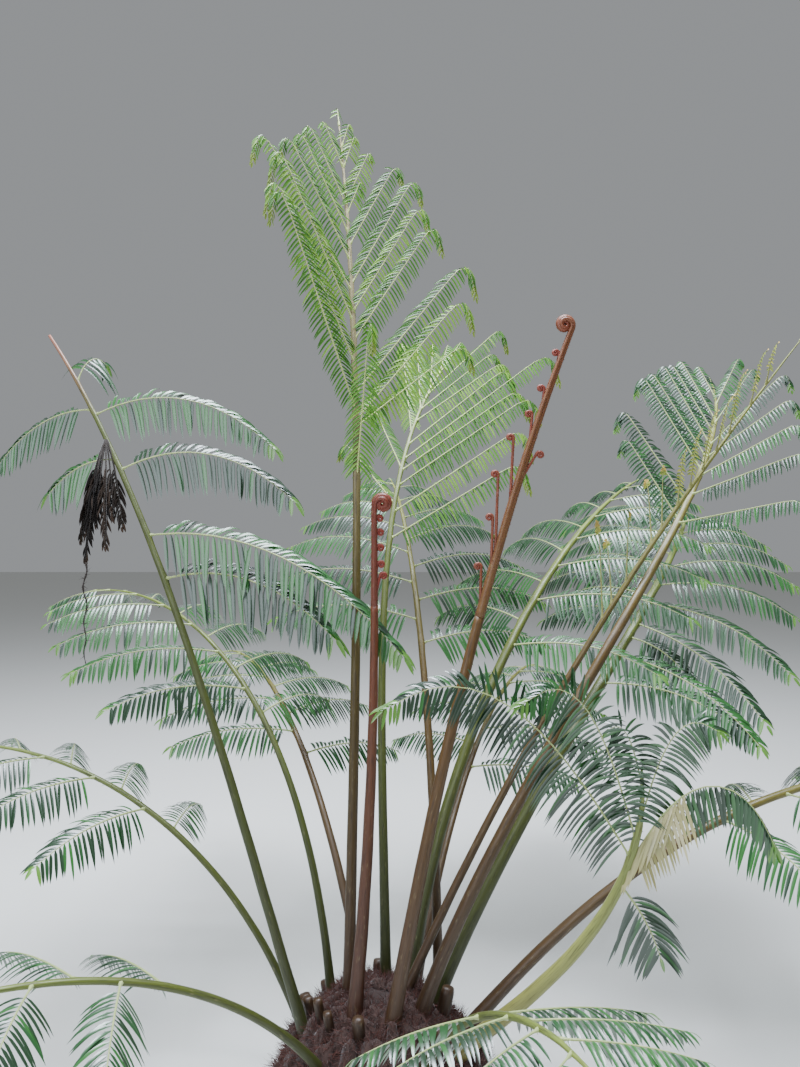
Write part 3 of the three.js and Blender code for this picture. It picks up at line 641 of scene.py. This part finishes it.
def leafletsOf(pinna, shade, chance):
    rule = leafletRule | pinna
    spacing = rule["spacing"] * mix((rule["least"], 1), pinna["width"])
    end = pinna["length"] - rule["endRoom"] * leafletLengths(pinna, 1.0)
    start = max(pinna["stalk"], pinna.get("start", 0) * pinna["length"])
    step = spacing * rule["step"]
    pairs = int((end - start) / step)
    found = []
    for side, first in rule["starts"].items():
        marks = start + step * (np.arange(pairs) + first)
        spots, ahead, left, upper = ribPlaces(pinna, marks)
        share = marks / pinna["length"]
        lean = np.radians(mix(rule["lean"], share) + chance.normal(0, rule["turnScatter"], pairs))
        aside = side * left
        out = aside * np.cos(lean)[:, None] + ahead * np.sin(lean)[:, None]
        lift = chance.normal(0, rule["liftScatter"], pairs)[:, None]
        out = unit(out - up * rule["limp"] + upper * lift)
        length = leafletLengths(pinna, share) * (1 + chance.normal(0, rule["lengthScatter"], pairs))
        roll = rule["roll"] + chance.normal(0, rule["rollScatter"], pairs)[:, None]
        found.append((spots, out, squareTo(upper + aside * roll, out), length, share))
    spots, ahead, left, upper = ribPlaces(pinna, np.array([end]))
    found.append((spots, ahead, upper, leafletLengths(pinna, np.array([1.0])), np.array([1.0])))
    spots, out, facing, length, share = [np.concatenate(part) for part in zip(*found)]
    level = np.sqrt(1 - out[:, 2] ** 2)
    # Stray leaflets get another of the deep, middle and light tones: partly random tone, partly painted
    # shade and painted light between neighbouring leaflets.
    stray = chance.random(len(length)) < rule["strayShade"]
    shades = np.where(stray, chance.integers(0, 3, len(length)), shade)
    broad = np.full(len(length), spacing * rule["cover"])
    return {
        "spot": spots, "out": out, "facing": facing, "share": share,
        "size": np.stack([length, broad, broad], axis=1), "droop": length * rule["fall"] * level,
        "shade": np.where(share > rule["tipPlace"], 3, shades),
    }


def joinedLeaflets(groups):
    return {key: np.concatenate([group[key] for group in groups]) for key in groups[0]}


def leafletMesh(name, leaflets):  # a point for each leaflet, with its turn, size, droop and shade
    aside = np.cross(leaflets["facing"], leaflets["out"])
    turns = turnsOf(zip(leaflets["out"], aside, leaflets["facing"]))
    return newMesh(name, leaflets["spot"], turn=("QUATERNION", turns),
                   size=("FLOAT_VECTOR", leaflets["size"]), droop=("FLOAT", leaflets["droop"]),
                   shade=("INT", leaflets["shade"]))


def clearLeaflets(leaflets, name):  # which leaflets touch no stem but their own frond's
    fall = up * leaflets["droop"][:, None]
    free = np.ones(len(leaflets["spot"]), bool)
    for share in (0.25, 0.6, 1.0):
        reached = leaflets["spot"] + leaflets["out"] * leaflets["size"][:, :1] * share
        free &= ~touching(reached - fall * share ** 2, leafletRule["clearance"], name)
    return free


leafSkins = {kind: {shade.capitalize(): leafMaterial(kind, shade) for shade in leafShades}
             for kind in leafLooks}
growLeaflets = leafletTree()
print("leaf and rib materials and their trees are made")

# The fronds, as the part's source lists them

frondColumns = ("seat", "rise", "bend", "head", "sweep", "length", "thick", "bare", "across",
                "droop", "pairs", "angle", "span")


def row(*values, **others):  # the columns in their order, and what sets the frond apart
    usual = {"hang": 1.6, "stem": "olive", "leaf": "mature"}
    return usual | dict(zip(frondColumns, values)) | others


fronds = {
    "tall": row((-0.12, 0.04), (87, 76), 0.8, (75, 117), 1.2, 3.7, 0.044, 0.5, 207, 3.5, hang=32,
        stem="redToOlive", leaf="young", lift=14, width=0.66, cover=0.5, limp=0.9),
    "left": row((-0.27, -0.04), (72, 47), 2.3, (170, 148), 0.7, 3.06, 0.04, 0.57, 168, 1.25,
        hang=1.1, stem="oliveToPink", tipShare=0.3, width=1.35, cover=0.76, limp=0.3, fall=0.85,
        bareTip=0.07),
    "left_back": row((-0.19, 0.13), (81, -6), 1.3, (132, 150), 1, 2.5, 0.034, 0.45, 235, 0.6, 6,
        (75, 40), 0.76, far=True),
    "low_left": row((-0.3, 0.09), (68, -11), 1.2, (172, 172), 1, 2.1, 0.032, 0.42, 262, 0.5, 5,
        (75, 40), 0.62),
    "front_left": row((-0.19, -0.21), (55, -14), 1, (212, 215), 1, 1.75, 0.034, 0.4, 305, 0.5, 4,
        (76, 42), 0.56),
    "back": row((0.02, 0.15), (85, 40), 1.16, (101, 52), 1.47, 3.19, 0.04, 0.5, 176, 3.2, hang=30,
        leaf="young", lift=5, width=0.66, cover=0.55, limp=0.8),
    "back_left": row((0.232, 0.235), (85, 15), 1.4, (98, 98), 1, 2.92, 0.042, 0.5, 188, 0.7, 7,
        (72, 38), 0.8, hang=1.8, stem="brown", far=True),
    "back_right": row((0.112, 0.148), (82, 13), 1, (37, 53), 1, 3.06, 0.054, 0.46, 138, 0.7, 7,
        (72, 38), 0.82, hang=1.8, far=True),
    "behind": row((-0.07, 0.235), (62, -12), 1.2, (118, 118), 1, 2.5, 0.038, 0.4, 208, 0.6, 6,
        (74, 40), 0.7, stem="brown", far=True),
    "behind_right": row((0.13, 0.29), (60, -12), 1.2, (66, 66), 1, 2.5, 0.038, 0.4, 156, 0.6, 6,
        (74, 40), 0.7, stem="brown", far=True),
    "unrolling": row((0.08, 0.04), (62, 52), 0.9, (22, -2), 1, 3.11, 0.036, 0.49, 100, 0.8, hang=6,
        stem="brown", leaf="unrolling", lift=34, width=0.35, budded=0.35),
    "far_right": row((0.14, -0.06), (72, 28), 0.8, (0, 77), 1.1, 3.65, 0.05, 0.56, 160, 3.5,
        hang=32, stem="brown", lift=34, width=0.55, limp=0.6),
    "right": row((0.19, 0.05), (66, 16), 1, (12, 71), 1, 3.11, 0.06, 0.45, 156, 0.9, hang=1.7,
        lift=8, far=True),
    "front_right": row((0.265, -0.11), (41, 96), 2, (350, 335), 1, 1.33, 0.06, 0.66, 180, 1.1,
        hang=2.2, stem="pale", width=1.2, cover=0.56, step=0.78, limp=0.3, fall=0.6, dying=(1, 0.45)),
    "low_right": row((0.3, 0.02), (49, -13), 1.41, (0, 8), 0.9, 2.5, 0.05, 0.5, 94, 0.7, 5,
        (74, 40), 0.68, stem="brown"),
    "front": row((0.15, -0.23), (60, 0), 1, (300, 285), 1, 1.3, 0.036, 0.42, 15, 0.3, 4, (80, 44),
        0.55),
}
croziers = {
    "left": row((-0.095, -0.1), (82, 92), 1.2, (44, 71), 1, 1.91, 0.05, 0.8, stem="red",
        tipShare=0.4, curl=0, hookSide=0,
        hooks=[(0.83, 1, 0.06), (0.87, 1, 0.025), (0.905, 1, 0.02), (0.935, 1, 0.02),
               (0.965, 1, 0.015)]),
    "right": row((0.04, -0.14), (79.5, 67), 1.5, (10, 18), 1, 2.68, 0.052, 0.57, stem="redToTan",
        tipShare=0.36, curl=180, hookSide=180,
        hooks=[(0.59, 1, 0.13), (0.645, 1, 0.17), (0.665, 1, 0.28), (0.735, 1, 0.24),
               (0.775, -1, 0.1), (0.825, 1, 0.1), (0.88, 1, 0.06), (0.943, 1, 0.04)]),
}
sideBranches = {  # share of the blade, side, angle, length and, for a wilted one, its droop
    "tall": [(0.04, -1, 0, 0.77), (0.16, -1, 53, 0.72), (0.175, -1, 37, 0.85), (0.2, 1, 24, 1.07),
        (0.24, -1, 37, 0.9), (0.317, 1, 28, 0.98), (0.374, -1, 34, 0.73), (0.423, 1, 29, 0.85),
        (0.448, -1, 32, 0.72), (0.505, 1, 39, 0.84), (0.524, -1, 26, 0.68), (0.591, 1, 39, 0.67),
        (0.633, -1, 28, 0.55), (0.67, 1, 37, 0.56), (0.726, -1, 19, 0.18), (0.751, 1, 33, 0.41),
        (0.761, -1, 26, 0.31), (0.866, -1, 18, 0.18), (0.866, 1, 26, 0.25), (0.93, -1, 19, 0.13),
        (1, 1, 20, 0.1)],
    "left": [(0, -1, 94, 0.8), (0.16, -1, 108, 1.16), (0.45, -1, 88, 0.85), (0.73, -1, 92, 0.82),
        (0.5, 1, 44, 0.42), (0.76, 1, 42, 0.55), (0.92, -1, 40, 0.22)],
    "back": [(0.112, -1, 51, 0.85), (0.201, -1, 46, 0.9), (0.232, 1, 46, 0.53), (0.299, -1, 44, 1),
        (0.359, -1, 39, 0.91), (0.37, 1, 33, 0.5), (0.408, -1, 37, 1.13), (0.472, -1, 38, 0.87),
        (0.528, 1, 15, 0.79), (0.587, -1, 38, 0.7), (0.65, -1, 30, 0.71), (0.65, 1, 18, 0.62),
        (0.733, -1, 22, 0.81), (0.769, 1, 18, 0.45), (0.863, 1, 10, 0.31), (0.923, -1, 4, 0.25),
        (1, 1, 20, 0.14)],
    "unrolling": [(0.038, -1, -2, 0.43), (0.08, 1, 10, 0.27), (0.146, -1, 5, 0.32),
        (0.27, 1, 10, 0.3), (0.319, -1, -4, 0.25), (0.396, 1, -12, 0.25), (0.459, -1, 12, 0.26),
        (0.522, 1, -17, 0.27), (0.589, -1, 28, 0.26), (0.654, 1, -19, 0.29), (0.76, -1, 23, 0.24),
        (0.835, 1, -16, 0.18), (1, 1, 20, 0.12)],
    "far_right": [(0.08, -1, 99, 0.73), (0.093, 1, 59, 0.51), (0.164, 1, 59, 0.62),
        (0.2, -1, 84, 0.67), (0.291, -1, 79, 0.55), (0.323, 1, 50, 0.65), (0.394, 1, 46, 0.64),
        (0.394, -1, 65, 0.51), (0.471, 1, 42, 0.57), (0.471, -1, 52, 0.57), (0.554, 1, 40, 0.52),
        (0.624, -1, 31, 0.4), (0.649, 1, 35, 0.49), (0.784, -1, 29, 0.36), (0.845, 1, 29, 0.26),
        (1, 1, 20, 0.15)],
    "right": [(0, -1, 73, 0.7), (0.085, -1, 88, 0.69), (0.147, -1, 93, 0.34), (0.2, -1, 99, 0.71),
        (0.228, 1, 83, 0.56), (0.288, -1, 89, 0.75), (0.313, 1, 78, 0.5), (0.372, -1, 69, 0.66),
        (0.382, 1, 77, 0.69), (0.463, 1, 70, 0.67), (0.467, -1, 60, 0.62), (0.548, 1, 63, 0.74),
        (0.588, -1, 61, 0.6), (0.631, 1, 55, 0.95), (0.71, -1, 72, 0.48), (0.731, 1, 52, 1.05),
        (0.821, 1, 45, 0.95), (0.835, -1, 79, 0.32), (0.915, 1, 60, 0.5), (1, 1, 20, 0.2)],
    "front_right": [(0.006, -1, 118, 0.34), (0.122, -1, 6, 0.74, 1.83), (0.231, 1, 49, 1.12),
        (0.39, 1, 28, 0.81), (0.508, -1, 6, 0.55), (0.865, 1, 12, 0.28)],
}
stemLines = {name: centreLine(frond) for name, frond in fronds.items()}
stemLines |= {f"crozier_{name}": centreLine(crozier) for name, crozier in croziers.items()}


def touching(spots, clearance, name):  # which spots lie in or near a stem other than the named one
    near = np.zeros(len(spots), bool)
    for owner, points in stemLines.items():
        if owner == name:
            continue
        frond = fronds.get(owner) or croziers[owner.removeprefix("crozier_")]
        radius = limbRadius(frond, np.linspace(0, 1, len(points)))
        away = np.linalg.norm(spots[:, None] - points[None], axis=2)
        # points stand closer than this to the next one, so the middle between two is reached too
        step = frond["length"] / lineRule["steps"] / 2
        near |= (away ** 2 < (radius + clearance) ** 2 + step ** 2).any(axis=1)
    return near


def makeFrond(name, frond, seed):
    chance = np.random.default_rng(leafletRule["seed"] + seed)
    points = stemLines[name]
    pinnae = pinnaeOf(name, frond, points)
    placeSolid(f"stem_{name}", [stemPart(frond, points, pinnae, seed)], stemSkins[frond["stem"]],
               "stipe", f"stipe_{name}")
    place = ["frond" if frond["leaf"] == "mature" else "young_frond", f"blade_{name}"]
    if frond.get("far"):
        place.append(f"blade_{name}_far")
    # A deep, middle or light tone for each pinna: partly random tone, partly painted shade and painted
    # light.
    shades = chance.choice(3, len(pinnae), p=leafletRule["shadeShares"])
    dyingPlace, dyingShare = frond.get("dying", (-1, 0))
    groups = []
    for index, pinna in enumerate(pinnae):
        if pinna["share"] < frond.get("budded", 0):
            pinna |= leafletRule["bud"]
        if index == dyingPlace:
            pinna["limp"] = leafletRule["wiltedLimp"]
        leaflets = leafletsOf(pinna, shades[index], chance)
        leaflets["dying"] = (leaflets["share"] < dyingShare) & (index == dyingPlace)
        groups.append(leaflets)
    joined = joinedLeaflets(groups)
    free = clearLeaflets(joined, name)
    for end, kind, chosen in (("", frond["leaf"], free & ~joined["dying"]),
                              ("_dying", "dying", free & joined["dying"])):
        if chosen.any():
            label = f"leaflets_{name}{end}"
            mesh = leafletMesh(label, {key: values[chosen] for key, values in joined.items()})
            grow(label, mesh, growLeaflets, {"Fold": leafletRule["fold"], **leafSkins[kind]}, *place)
    grow(f"ribs_{name}", ribMesh(name, pinnae), growRibs,
         {"Sides": ribRule["sides"], "Material": ribSkins[frond["leaf"]]}, *place)
    return int(free.sum())


leafletCount = 0
for seed, (name, frond) in enumerate(fronds.items()):
    leafletCount += makeFrond(name, frond, seed)
print(f"fronds: {len(fronds)} with {leafletCount} leaflets")

# Croziers: young fronds still rolled up, furred with rust red hairs

crozierRule = {
    "coilRadius": 0.032, "coilShrink": 0.5, "coilTurns": 1.9, "coilRings": 60, "coilSwell": 1.95,
    "swellSpeed": 6,  # the coil is swollen past its first sixth
    # The rachis and the pinnae pressed to it: shift aside, shift into the coil and size
    "ridges": ((0, 0, 1), (0.8, 0.55, 0.66), (-0.8, 0.55, 0.66)),
    "ridgeStart": 0.25,  # share of the crozier below which the ridges rise from the rachis
    "sides": 12,
    "hookRadius": 0.013, "hookThickness": 0.006, "hookLean": 0.25, "hookTurns": 1.4,
    "hookRings": 24, "hookSides": 8, "stalkRings": 6, "stalkTaper": 0.8, "budSize": 1.7,
    "budRidge": 0.4,  # how far the pressed pinnae stand off where a hook's coil begins
    "hairs": {"Density": 45000, "Length": 0.005, "Thickness": 0.0005, "Lean": 0.7},  # to the m2
}
hairRule = {"clear": 1.4, "sizes": (0.5, 1.2)}  # lengths off the ground, least and greatest size


def hairTree():
    # Short tapering hairs strewn over a surface, each leaning its own way
    tree, add, given = newTree("hairs", Density="Float", Length="Float", Thickness="Float",
                               Lean="Float", Seed="Int", Material="Material")
    height = add("SeparateXYZ", [add("InputPosition")]).outputs["Z"]
    above = add("Compare", [height, reckon(add, "MULTIPLY", given["Length"], hairRule["clear"])],
                data_type="FLOAT", operation="GREATER_THAN")
    spots = add("DistributePointsOnFaces", {
        "Mesh": given["Geometry"], "Selection": above, "Density": given["Density"],
        "Seed": given["Seed"]})
    hair = add("MeshCone", {
        "Vertices": 3, "Radius Top": 0.0, "Radius Bottom": given["Thickness"],
        "Depth": given["Length"]}, fill_type="NGON")
    ends = [add("VectorMath", {0: (way, way, way), "Scale": given["Lean"]}, operation="SCALE")
            for way in (-1, 1)]
    lean = add("RandomValue", {0: ends[0], 1: ends[1], "Seed": given["Seed"]},
               data_type="FLOAT_VECTOR")
    tilt = add("EulerToRotation", [lean])
    turn = add("RotateRotation", [spots.outputs["Rotation"], tilt])
    size = add("RandomValue", {
        2: hairRule["sizes"][0], 3: hairRule["sizes"][1], "Seed": given["Seed"]}, data_type="FLOAT")
    strewn = add("InstanceOnPoints",
                 {"Points": spots, "Instance": hair, "Rotation": turn, "Scale": size})
    return closeTree(tree, add, strewn, given, smooth=False)


def spiral(start, ahead, towards, radius, turns, rings):  # points, directions and shrinkage
    share = np.linspace(0, 1, rings)
    angle = (share * turns * 2 * math.pi)[:, None]
    shrink = crozierRule["coilShrink"] ** (share * turns)
    spoke = ahead * np.sin(angle) - towards * np.cos(angle)
    spots = start + towards * radius + spoke * radius * shrink[:, None]
    return spots, towards * np.sin(angle) + ahead * np.cos(angle), shrink


def ridgedParts(line, ahead, radius, risen, flat, sides, share):  # with what is pressed to it
    inward = np.cross(flat, ahead)
    return [tube(line + (flat * shift + inward * sunk) * (radius * risen)[:, None], ahead,
                 radius * size, flat, sides, share)
            for shift, sunk, size in crozierRule["ridges"]]


def rachisParts(crozier, points):  # the rachis and the pinnae pressed to it, down into the coil
    rule = crozierRule
    length = crozier["length"] * (1 - crozier["bare"])
    share = np.linspace(crozier["bare"], 1, round(length / stemRule["ringEvery"]))
    spots, ahead = alongLine(points, share)
    towards = squareTo(heading(crozier["curl"]), ahead[-1])
    flat = np.cross(ahead[-1], towards)
    coil, coilAhead, shrink = spiral(spots[-1], ahead[-1], towards, rule["coilRadius"],
                                     rule["coilTurns"], rule["coilRings"])
    line = np.vstack([spots[:-1], coil])
    ahead = np.vstack([ahead[:-1], coilAhead])
    radius = limbRadius(crozier, share)
    swell = mix((1, rule["coilSwell"]), np.minimum(1, np.linspace(0, rule["swellSpeed"], len(shrink))))
    radius = np.concatenate([radius[:-1], radius[-1] * shrink * swell])
    along = np.linspace(0, 1, len(line))
    risen = np.clip(along / rule["ridgeStart"], 0, 1)
    return ridgedParts(line, ahead, radius, risen, flat, rule["sides"], along)


def hookParts(crozier, points):  # the young pinnae: a thin stalk each, with a rolled bud
    rule = crozierRule
    parts = []
    for share, turn, length in crozier["hooks"]:
        spots, aheads = alongLine(points, share)
        side = turn * squareTo(heading(crozier["hookSide"]), aheads[0])
        out = unit(aheads[0] + side * rule["hookLean"])
        root = spots[0] + side * (limbRadius(crozier, share) - rule["hookThickness"])
        stalk = root + out * (np.linspace(0, length, rule["stalkRings"]))[:, None]
        towards = squareTo(side, out)
        coil, coilAhead, shrink = spiral(stalk[-1], out, towards, rule["hookRadius"],
                                         rule["hookTurns"], rule["hookRings"])
        line = np.vstack([stalk[:-1], coil])
        ahead = np.vstack([np.tile(out, (len(stalk) - 1, 1)), coilAhead])
        swell = np.linspace(1, rule["budSize"], len(shrink)) * shrink
        taper = np.linspace(1, rule["stalkTaper"], len(stalk) - 1)
        radius = rule["hookThickness"] * np.concatenate([taper, swell])
        ridge = np.linspace(rule["budRidge"], 1, len(shrink))
        risen = np.concatenate([np.zeros(len(stalk) - 1), ridge])
        parts += ridgedParts(line, ahead, radius, risen, np.cross(out, towards), rule["hookSides"],
                             np.linspace(share, 1, len(line)))
    return parts


growHairs = hairTree()
down = fibreMaterial("rust red down", "#5e2217", "#91443a", 0.006, 0.75)
headLooks = {"left": "redHead", "right": "tanHead"}
for seed, (name, crozier) in enumerate(croziers.items()):
    points = stemLines[f"crozier_{name}"]
    stipe = stemPart(crozier, points, [], seed, (0, crozier["bare"]))
    placeSolid(f"stem_crozier_{name}", [stipe], stemSkins[crozier["stem"]],
               "stipe", f"stipe_crozier_{name}")
    parts = rachisParts(crozier, points) + hookParts(crozier, points)
    place = ("crozier", f"crozier_{name}")
    mesh = placeSolid(f"coil_{name}", parts, stemSkins[headLooks[name]], *place)
    grow(f"down_{name}", mesh.copy(), growHairs,
         {**crozierRule["hairs"], "Seed": seed, "Material": down}, *place)
print(f"croziers: {len(croziers)} with their rolled pinnae and down")

# The dead pinna that hangs from the left frond, with a dry strand below it

witheredRule = {
    "frond": "left", "place": 0.8, "length": 0.52, "stalk": 0.12, "width": 0.6,
    "droop": 6, "hang": 0.6, "limp": 1.1, "cover": 0.6, "seed": 21,
    "branches": ((0, 1), (38, 0.84), (-34, 0.9), (76, 0.7), (-70, 0.74), (15, 0.6), (-12, 0.72),
                 (55, 0.78), (-52, 0.66), (100, 0.62)),  # turn in degrees, and length as a share
    "lag": 0.04, "strand": 0.4, "strandRadius": 0.004, "strandWander": 0.006, "strandRings": 30,
    "sways": (19, 13), "knots": 57,  # how fast the strand sways in X and Y, and swells
    "shreds": {"Density": 9000.0, "Length": 0.022, "Thickness": 0.0012, "Lean": 0.9, "Seed": 3},
}


def witheredPinnae():
    rule = witheredRule
    frond = fronds[rule["frond"]]
    spots, aheads = alongLine(stemLines[rule["frond"]], rule["place"])
    side = squareTo(heading(frond["across"]), aheads[0])
    front = -np.cross(side, aheads[0])
    root = spots[0] + front * limbRadius(frond, rule["place"])
    pinnae = []
    for turn, share in rule["branches"]:
        turn = math.radians(turn)
        length = rule["length"] * share
        pinnae.append({
            "root": root, "place": rule["place"], "turn": 1, "share": 0,
            "ahead": front * math.cos(turn) + side * math.sin(turn), "towards": aheads[0],
            "upper": aheads[0], "length": length, "droop": rule["droop"], "hang": rule["hang"],
            "stalk": rule["stalk"], "width": rule["width"], "size": 1, "limp": rule["limp"],
            "cover": rule["cover"], "lag": rule["lag"],
        })
    return pinnae


def strandPart(top):  # a dry strand that wanders a little as it hangs
    rule = witheredRule
    share = np.linspace(0, 1, rule["strandRings"])
    right, back = rule["sways"]
    sway = np.stack([np.sin(share * right), np.cos(share * back) - 1, 0 * share], axis=1)
    spots = top - up * (share * rule["strand"])[:, None] + sway * rule["strandWander"]
    thick = rule["strandRadius"] * (1 - 0.5 * share) * (1 + 0.3 * np.sin(share * rule["knots"]))
    ahead = np.tile(-up, (len(spots), 1))
    return tube(spots, ahead, thick, heading(0), 6, share)


pinnae = witheredPinnae()
chance = np.random.default_rng(witheredRule["seed"])
leaflets = joinedLeaflets([leafletsOf(pinna, index % 3, chance) for index, pinna in enumerate(pinnae)])
place = ("withered", "withered_pinna")
grow("withered_leaflets", leafletMesh("withered_leaflets", leaflets), growLeaflets,
     {"Fold": leafletRule["deadFold"], **leafSkins["dead"]}, *place)
grow("withered_ribs", ribMesh("withered_ribs", pinnae), growRibs,
     {"Sides": ribRule["sides"], "Material": ribSkins["dead"]}, *place)
hangs = ribPlaces(pinnae[0], np.array([pinnae[0]["length"]]))[0][0]
strand = placeSolid("withered_strand", [strandPart(hangs)], ribSkins["dead"], *place)
grow("withered_shreds", strand.copy(), growHairs,
     {**witheredRule["shreds"], "Material": ribSkins["dead"]}, *place)
print("withered pinna: leaflets, ribs and strand")

# Rootstock: a short trunk of fleshy ears where old fronds have fallen off, matted with roots

rootRule = {
    "rings": 30, "sides": 96, "topAngle": 86,  # degrees up the dome at its last ring
    "swell": 0.05, "waves": (3, 5), "lump": 0.05, "lumpSize": 0.06,
    "ears": 110, "earTop": 76, "earSize": (0.042, 0.06, 0.026), "earScatter": 0.35, "earSeed": 5,
    "earGather": 0.9,  # below 1 the ears crowd towards the dome's top
    "earRough": 0.009, "earGrain": 34.0, "earClear": 1.2,  # roughnesses that they stay off the cut
    "earSunk": 0.4, "earHang": 0.5,  # share of its depth in the dome, and how far it may hang over
    "stumps": 9, "stumpLength": (0.05, 0.13), "stumpRadius": (0.016, 0.024), "stumpLean": 0.5,
    "stumpClimb": (30, 62), "stumpTurn": 0.7, "stumpSunk": 0.03, "stumpRings": 8, "stumpSides": 14,
    "stumpOval": 0.08, "stumpRim": 0.86, "stumpShare": 0.3,  # rim's width, and share of its colours
    "hairs": {"Density": 12000, "Length": 0.045, "Thickness": 0.0012, "Lean": 0.9, "Seed": 9},
}
goldenAngle = math.pi * (3 - math.sqrt(5))


def earTree():
    # Each point carries an ear's turn and size; noise pushes its skin in and out
    tree, add, given = newTree("ears", Rough="Float", Grain="Float", Material="Material")
    ball = add("MeshIcoSphere", {"Radius": 1.0, "Subdivisions": 3})
    ears = add("InstanceOnPoints", {
        "Points": given["Geometry"], "Instance": ball,
        "Rotation": carried(add, "turn", "QUATERNION"), "Scale": carried(add, "size", "FLOAT_VECTOR")})
    loose = add("RealizeInstances", [ears])
    bumps = add("TexNoise", {"Scale": given["Grain"], "Detail": 3.0})
    height = add("MapRange", [bumps, 0.3, 0.7, -1.0, 1.0])
    reach = reckon(add, "MULTIPLY", height, given["Rough"])
    push = add("VectorMath", {0: add("InputNormal"), "Scale": reach},
               operation="SCALE")
    rough = add("SetPosition", {"Geometry": loose, "Offset": push})
    return closeTree(tree, add, rough, given)


def domePart():  # the body of the rootstock, lumpy, with its flat cut at ground level
    rule = rootRule
    climb = np.radians(np.linspace(0, rule["topAngle"], rule["rings"]))
    turn = np.arange(rule["sides"]) * 2 * math.pi / rule["sides"]
    waves = np.sin(rule["waves"][0] * turn) * np.sin(rule["waves"][1] * turn)
    radius = lineRule["moundRadius"] * np.cos(climb)[:, None] * (1 + rule["swell"] * waves)[None]
    height = lineRule["moundHeight"] * np.sin(climb)
    for ring in range(rule["rings"]):
        for side in range(rule["sides"]):
            level = radius[ring, side] * np.array([math.cos(turn[side]), math.sin(turn[side])])
            spot = Vector((*level, height[ring])) / rule["lumpSize"]
            radius[ring, side] *= 1 + rule["lump"] * (noise.fractal(spot, 1, 2, 3) - 0.5)
    spots = height[:, None] * up
    return tube(spots, np.tile(up, (len(spots), 1)), radius, heading(0), rule["sides"],
                height / lineRule["moundHeight"])


def onDome(turn, climb):  # a point of the dome and the direction straight out of it there
    level = np.array([math.cos(turn), math.sin(turn), 0])
    reach = [lineRule["moundRadius"] * math.cos(climb), lineRule["moundHeight"] * math.sin(climb)]
    spot = level * reach[0] + up * reach[1]
    return spot, unit(level * reach[0] / lineRule["moundRadius"] ** 2
                      + up * reach[1] / lineRule["moundHeight"] ** 2)


def earMesh(name):  # ears in a spiral up the dome, each with its turn and size
    rule = rootRule
    chance = np.random.default_rng(rule["earSeed"])
    spots, axes, sizes = [], [], []
    for index in range(rule["ears"]):
        share = (index + 0.5) / rule["ears"]
        climb = math.radians(rule["earTop"]) * share ** rule["earGather"]
        spot, out = onDome(index * goldenAngle, climb)
        size = np.array(rule["earSize"]) * (1 + rule["earScatter"] * chance.uniform(-1, 1, 3))
        spot = spot - out * size[2] * rule["earSunk"]
        spot[2] = max(spot[2], size.max() + rule["earRough"] * rule["earClear"])
        slope = squareTo(up, out)
        facing = unit(out + slope * chance.uniform(-rule["earHang"], 0))
        slope = squareTo(up, facing)
        spots.append(spot)
        axes.append((np.cross(slope, facing), slope, facing))
        sizes.append(size)
    return newMesh(name, spots, turn=("QUATERNION", turnsOf(axes)), size=("FLOAT_VECTOR", sizes))


def stumpParts():  # broken feet of old stipes between the living ones
    rule = rootRule
    chance = np.random.default_rng(rule["earSeed"] + 1)
    share = np.linspace(0, 1, rule["stumpRings"])
    turn = np.arange(rule["stumpSides"]) * 2 * math.pi / rule["stumpSides"]
    oval = 1 + rule["stumpOval"] * np.cos(2 * turn)
    rim = np.where(share == 1, rule["stumpRim"], 1)[:, None]
    parts = []
    index = 0
    while len(parts) < rule["stumps"]:
        index += 1
        climb = math.radians(chance.uniform(*rule["stumpClimb"]))
        spot, out = onDome(index * goldenAngle + rule["stumpTurn"], climb)
        ahead = unit(up + out * rule["stumpLean"])
        length = mix(rule["stumpLength"], chance.random())
        radius = mix(rule["stumpRadius"], chance.random())
        sunk = rule["stumpSunk"]
        spots = spot - ahead * sunk + ahead * (share * (length + sunk))[:, None]
        if not touching(spots, radius, "").any():
            parts.append(tube(spots, np.tile(ahead, (len(spots), 1)), radius * oval[None] * rim,
                              heading(0), len(turn), share * rule["stumpShare"]))
    return parts


rootFibre = fibreMaterial("matted root fibre", "#0f0704", "#2e1408", 0.012, 0.95)
earSkin = fibreMaterial("dried ear of an old frond", "#140904", "#3c1c0c", 0.02, 0.85)
rootHair = fibreMaterial("root hair", "#200d06", "#56220f", 0.02, 0.9)
place = ("rootstock", "rootstock")
placeSolid("root_dome", [domePart()], rootFibre, *place)
ears = grow("root_ears", earMesh("root_ears"), earTree(), {
    "Rough": rootRule["earRough"], "Grain": rootRule["earGrain"], "Material": earSkin}, *place)
placeSolid("root_stumps", stumpParts(), stemSkins["oldFoot"], *place)
grow("root_hairs", ears.data.copy(), growHairs, {**rootRule["hairs"], "Material": rootHair}, *place)
print("rootstock: dome, ears, stumps and root hairs")
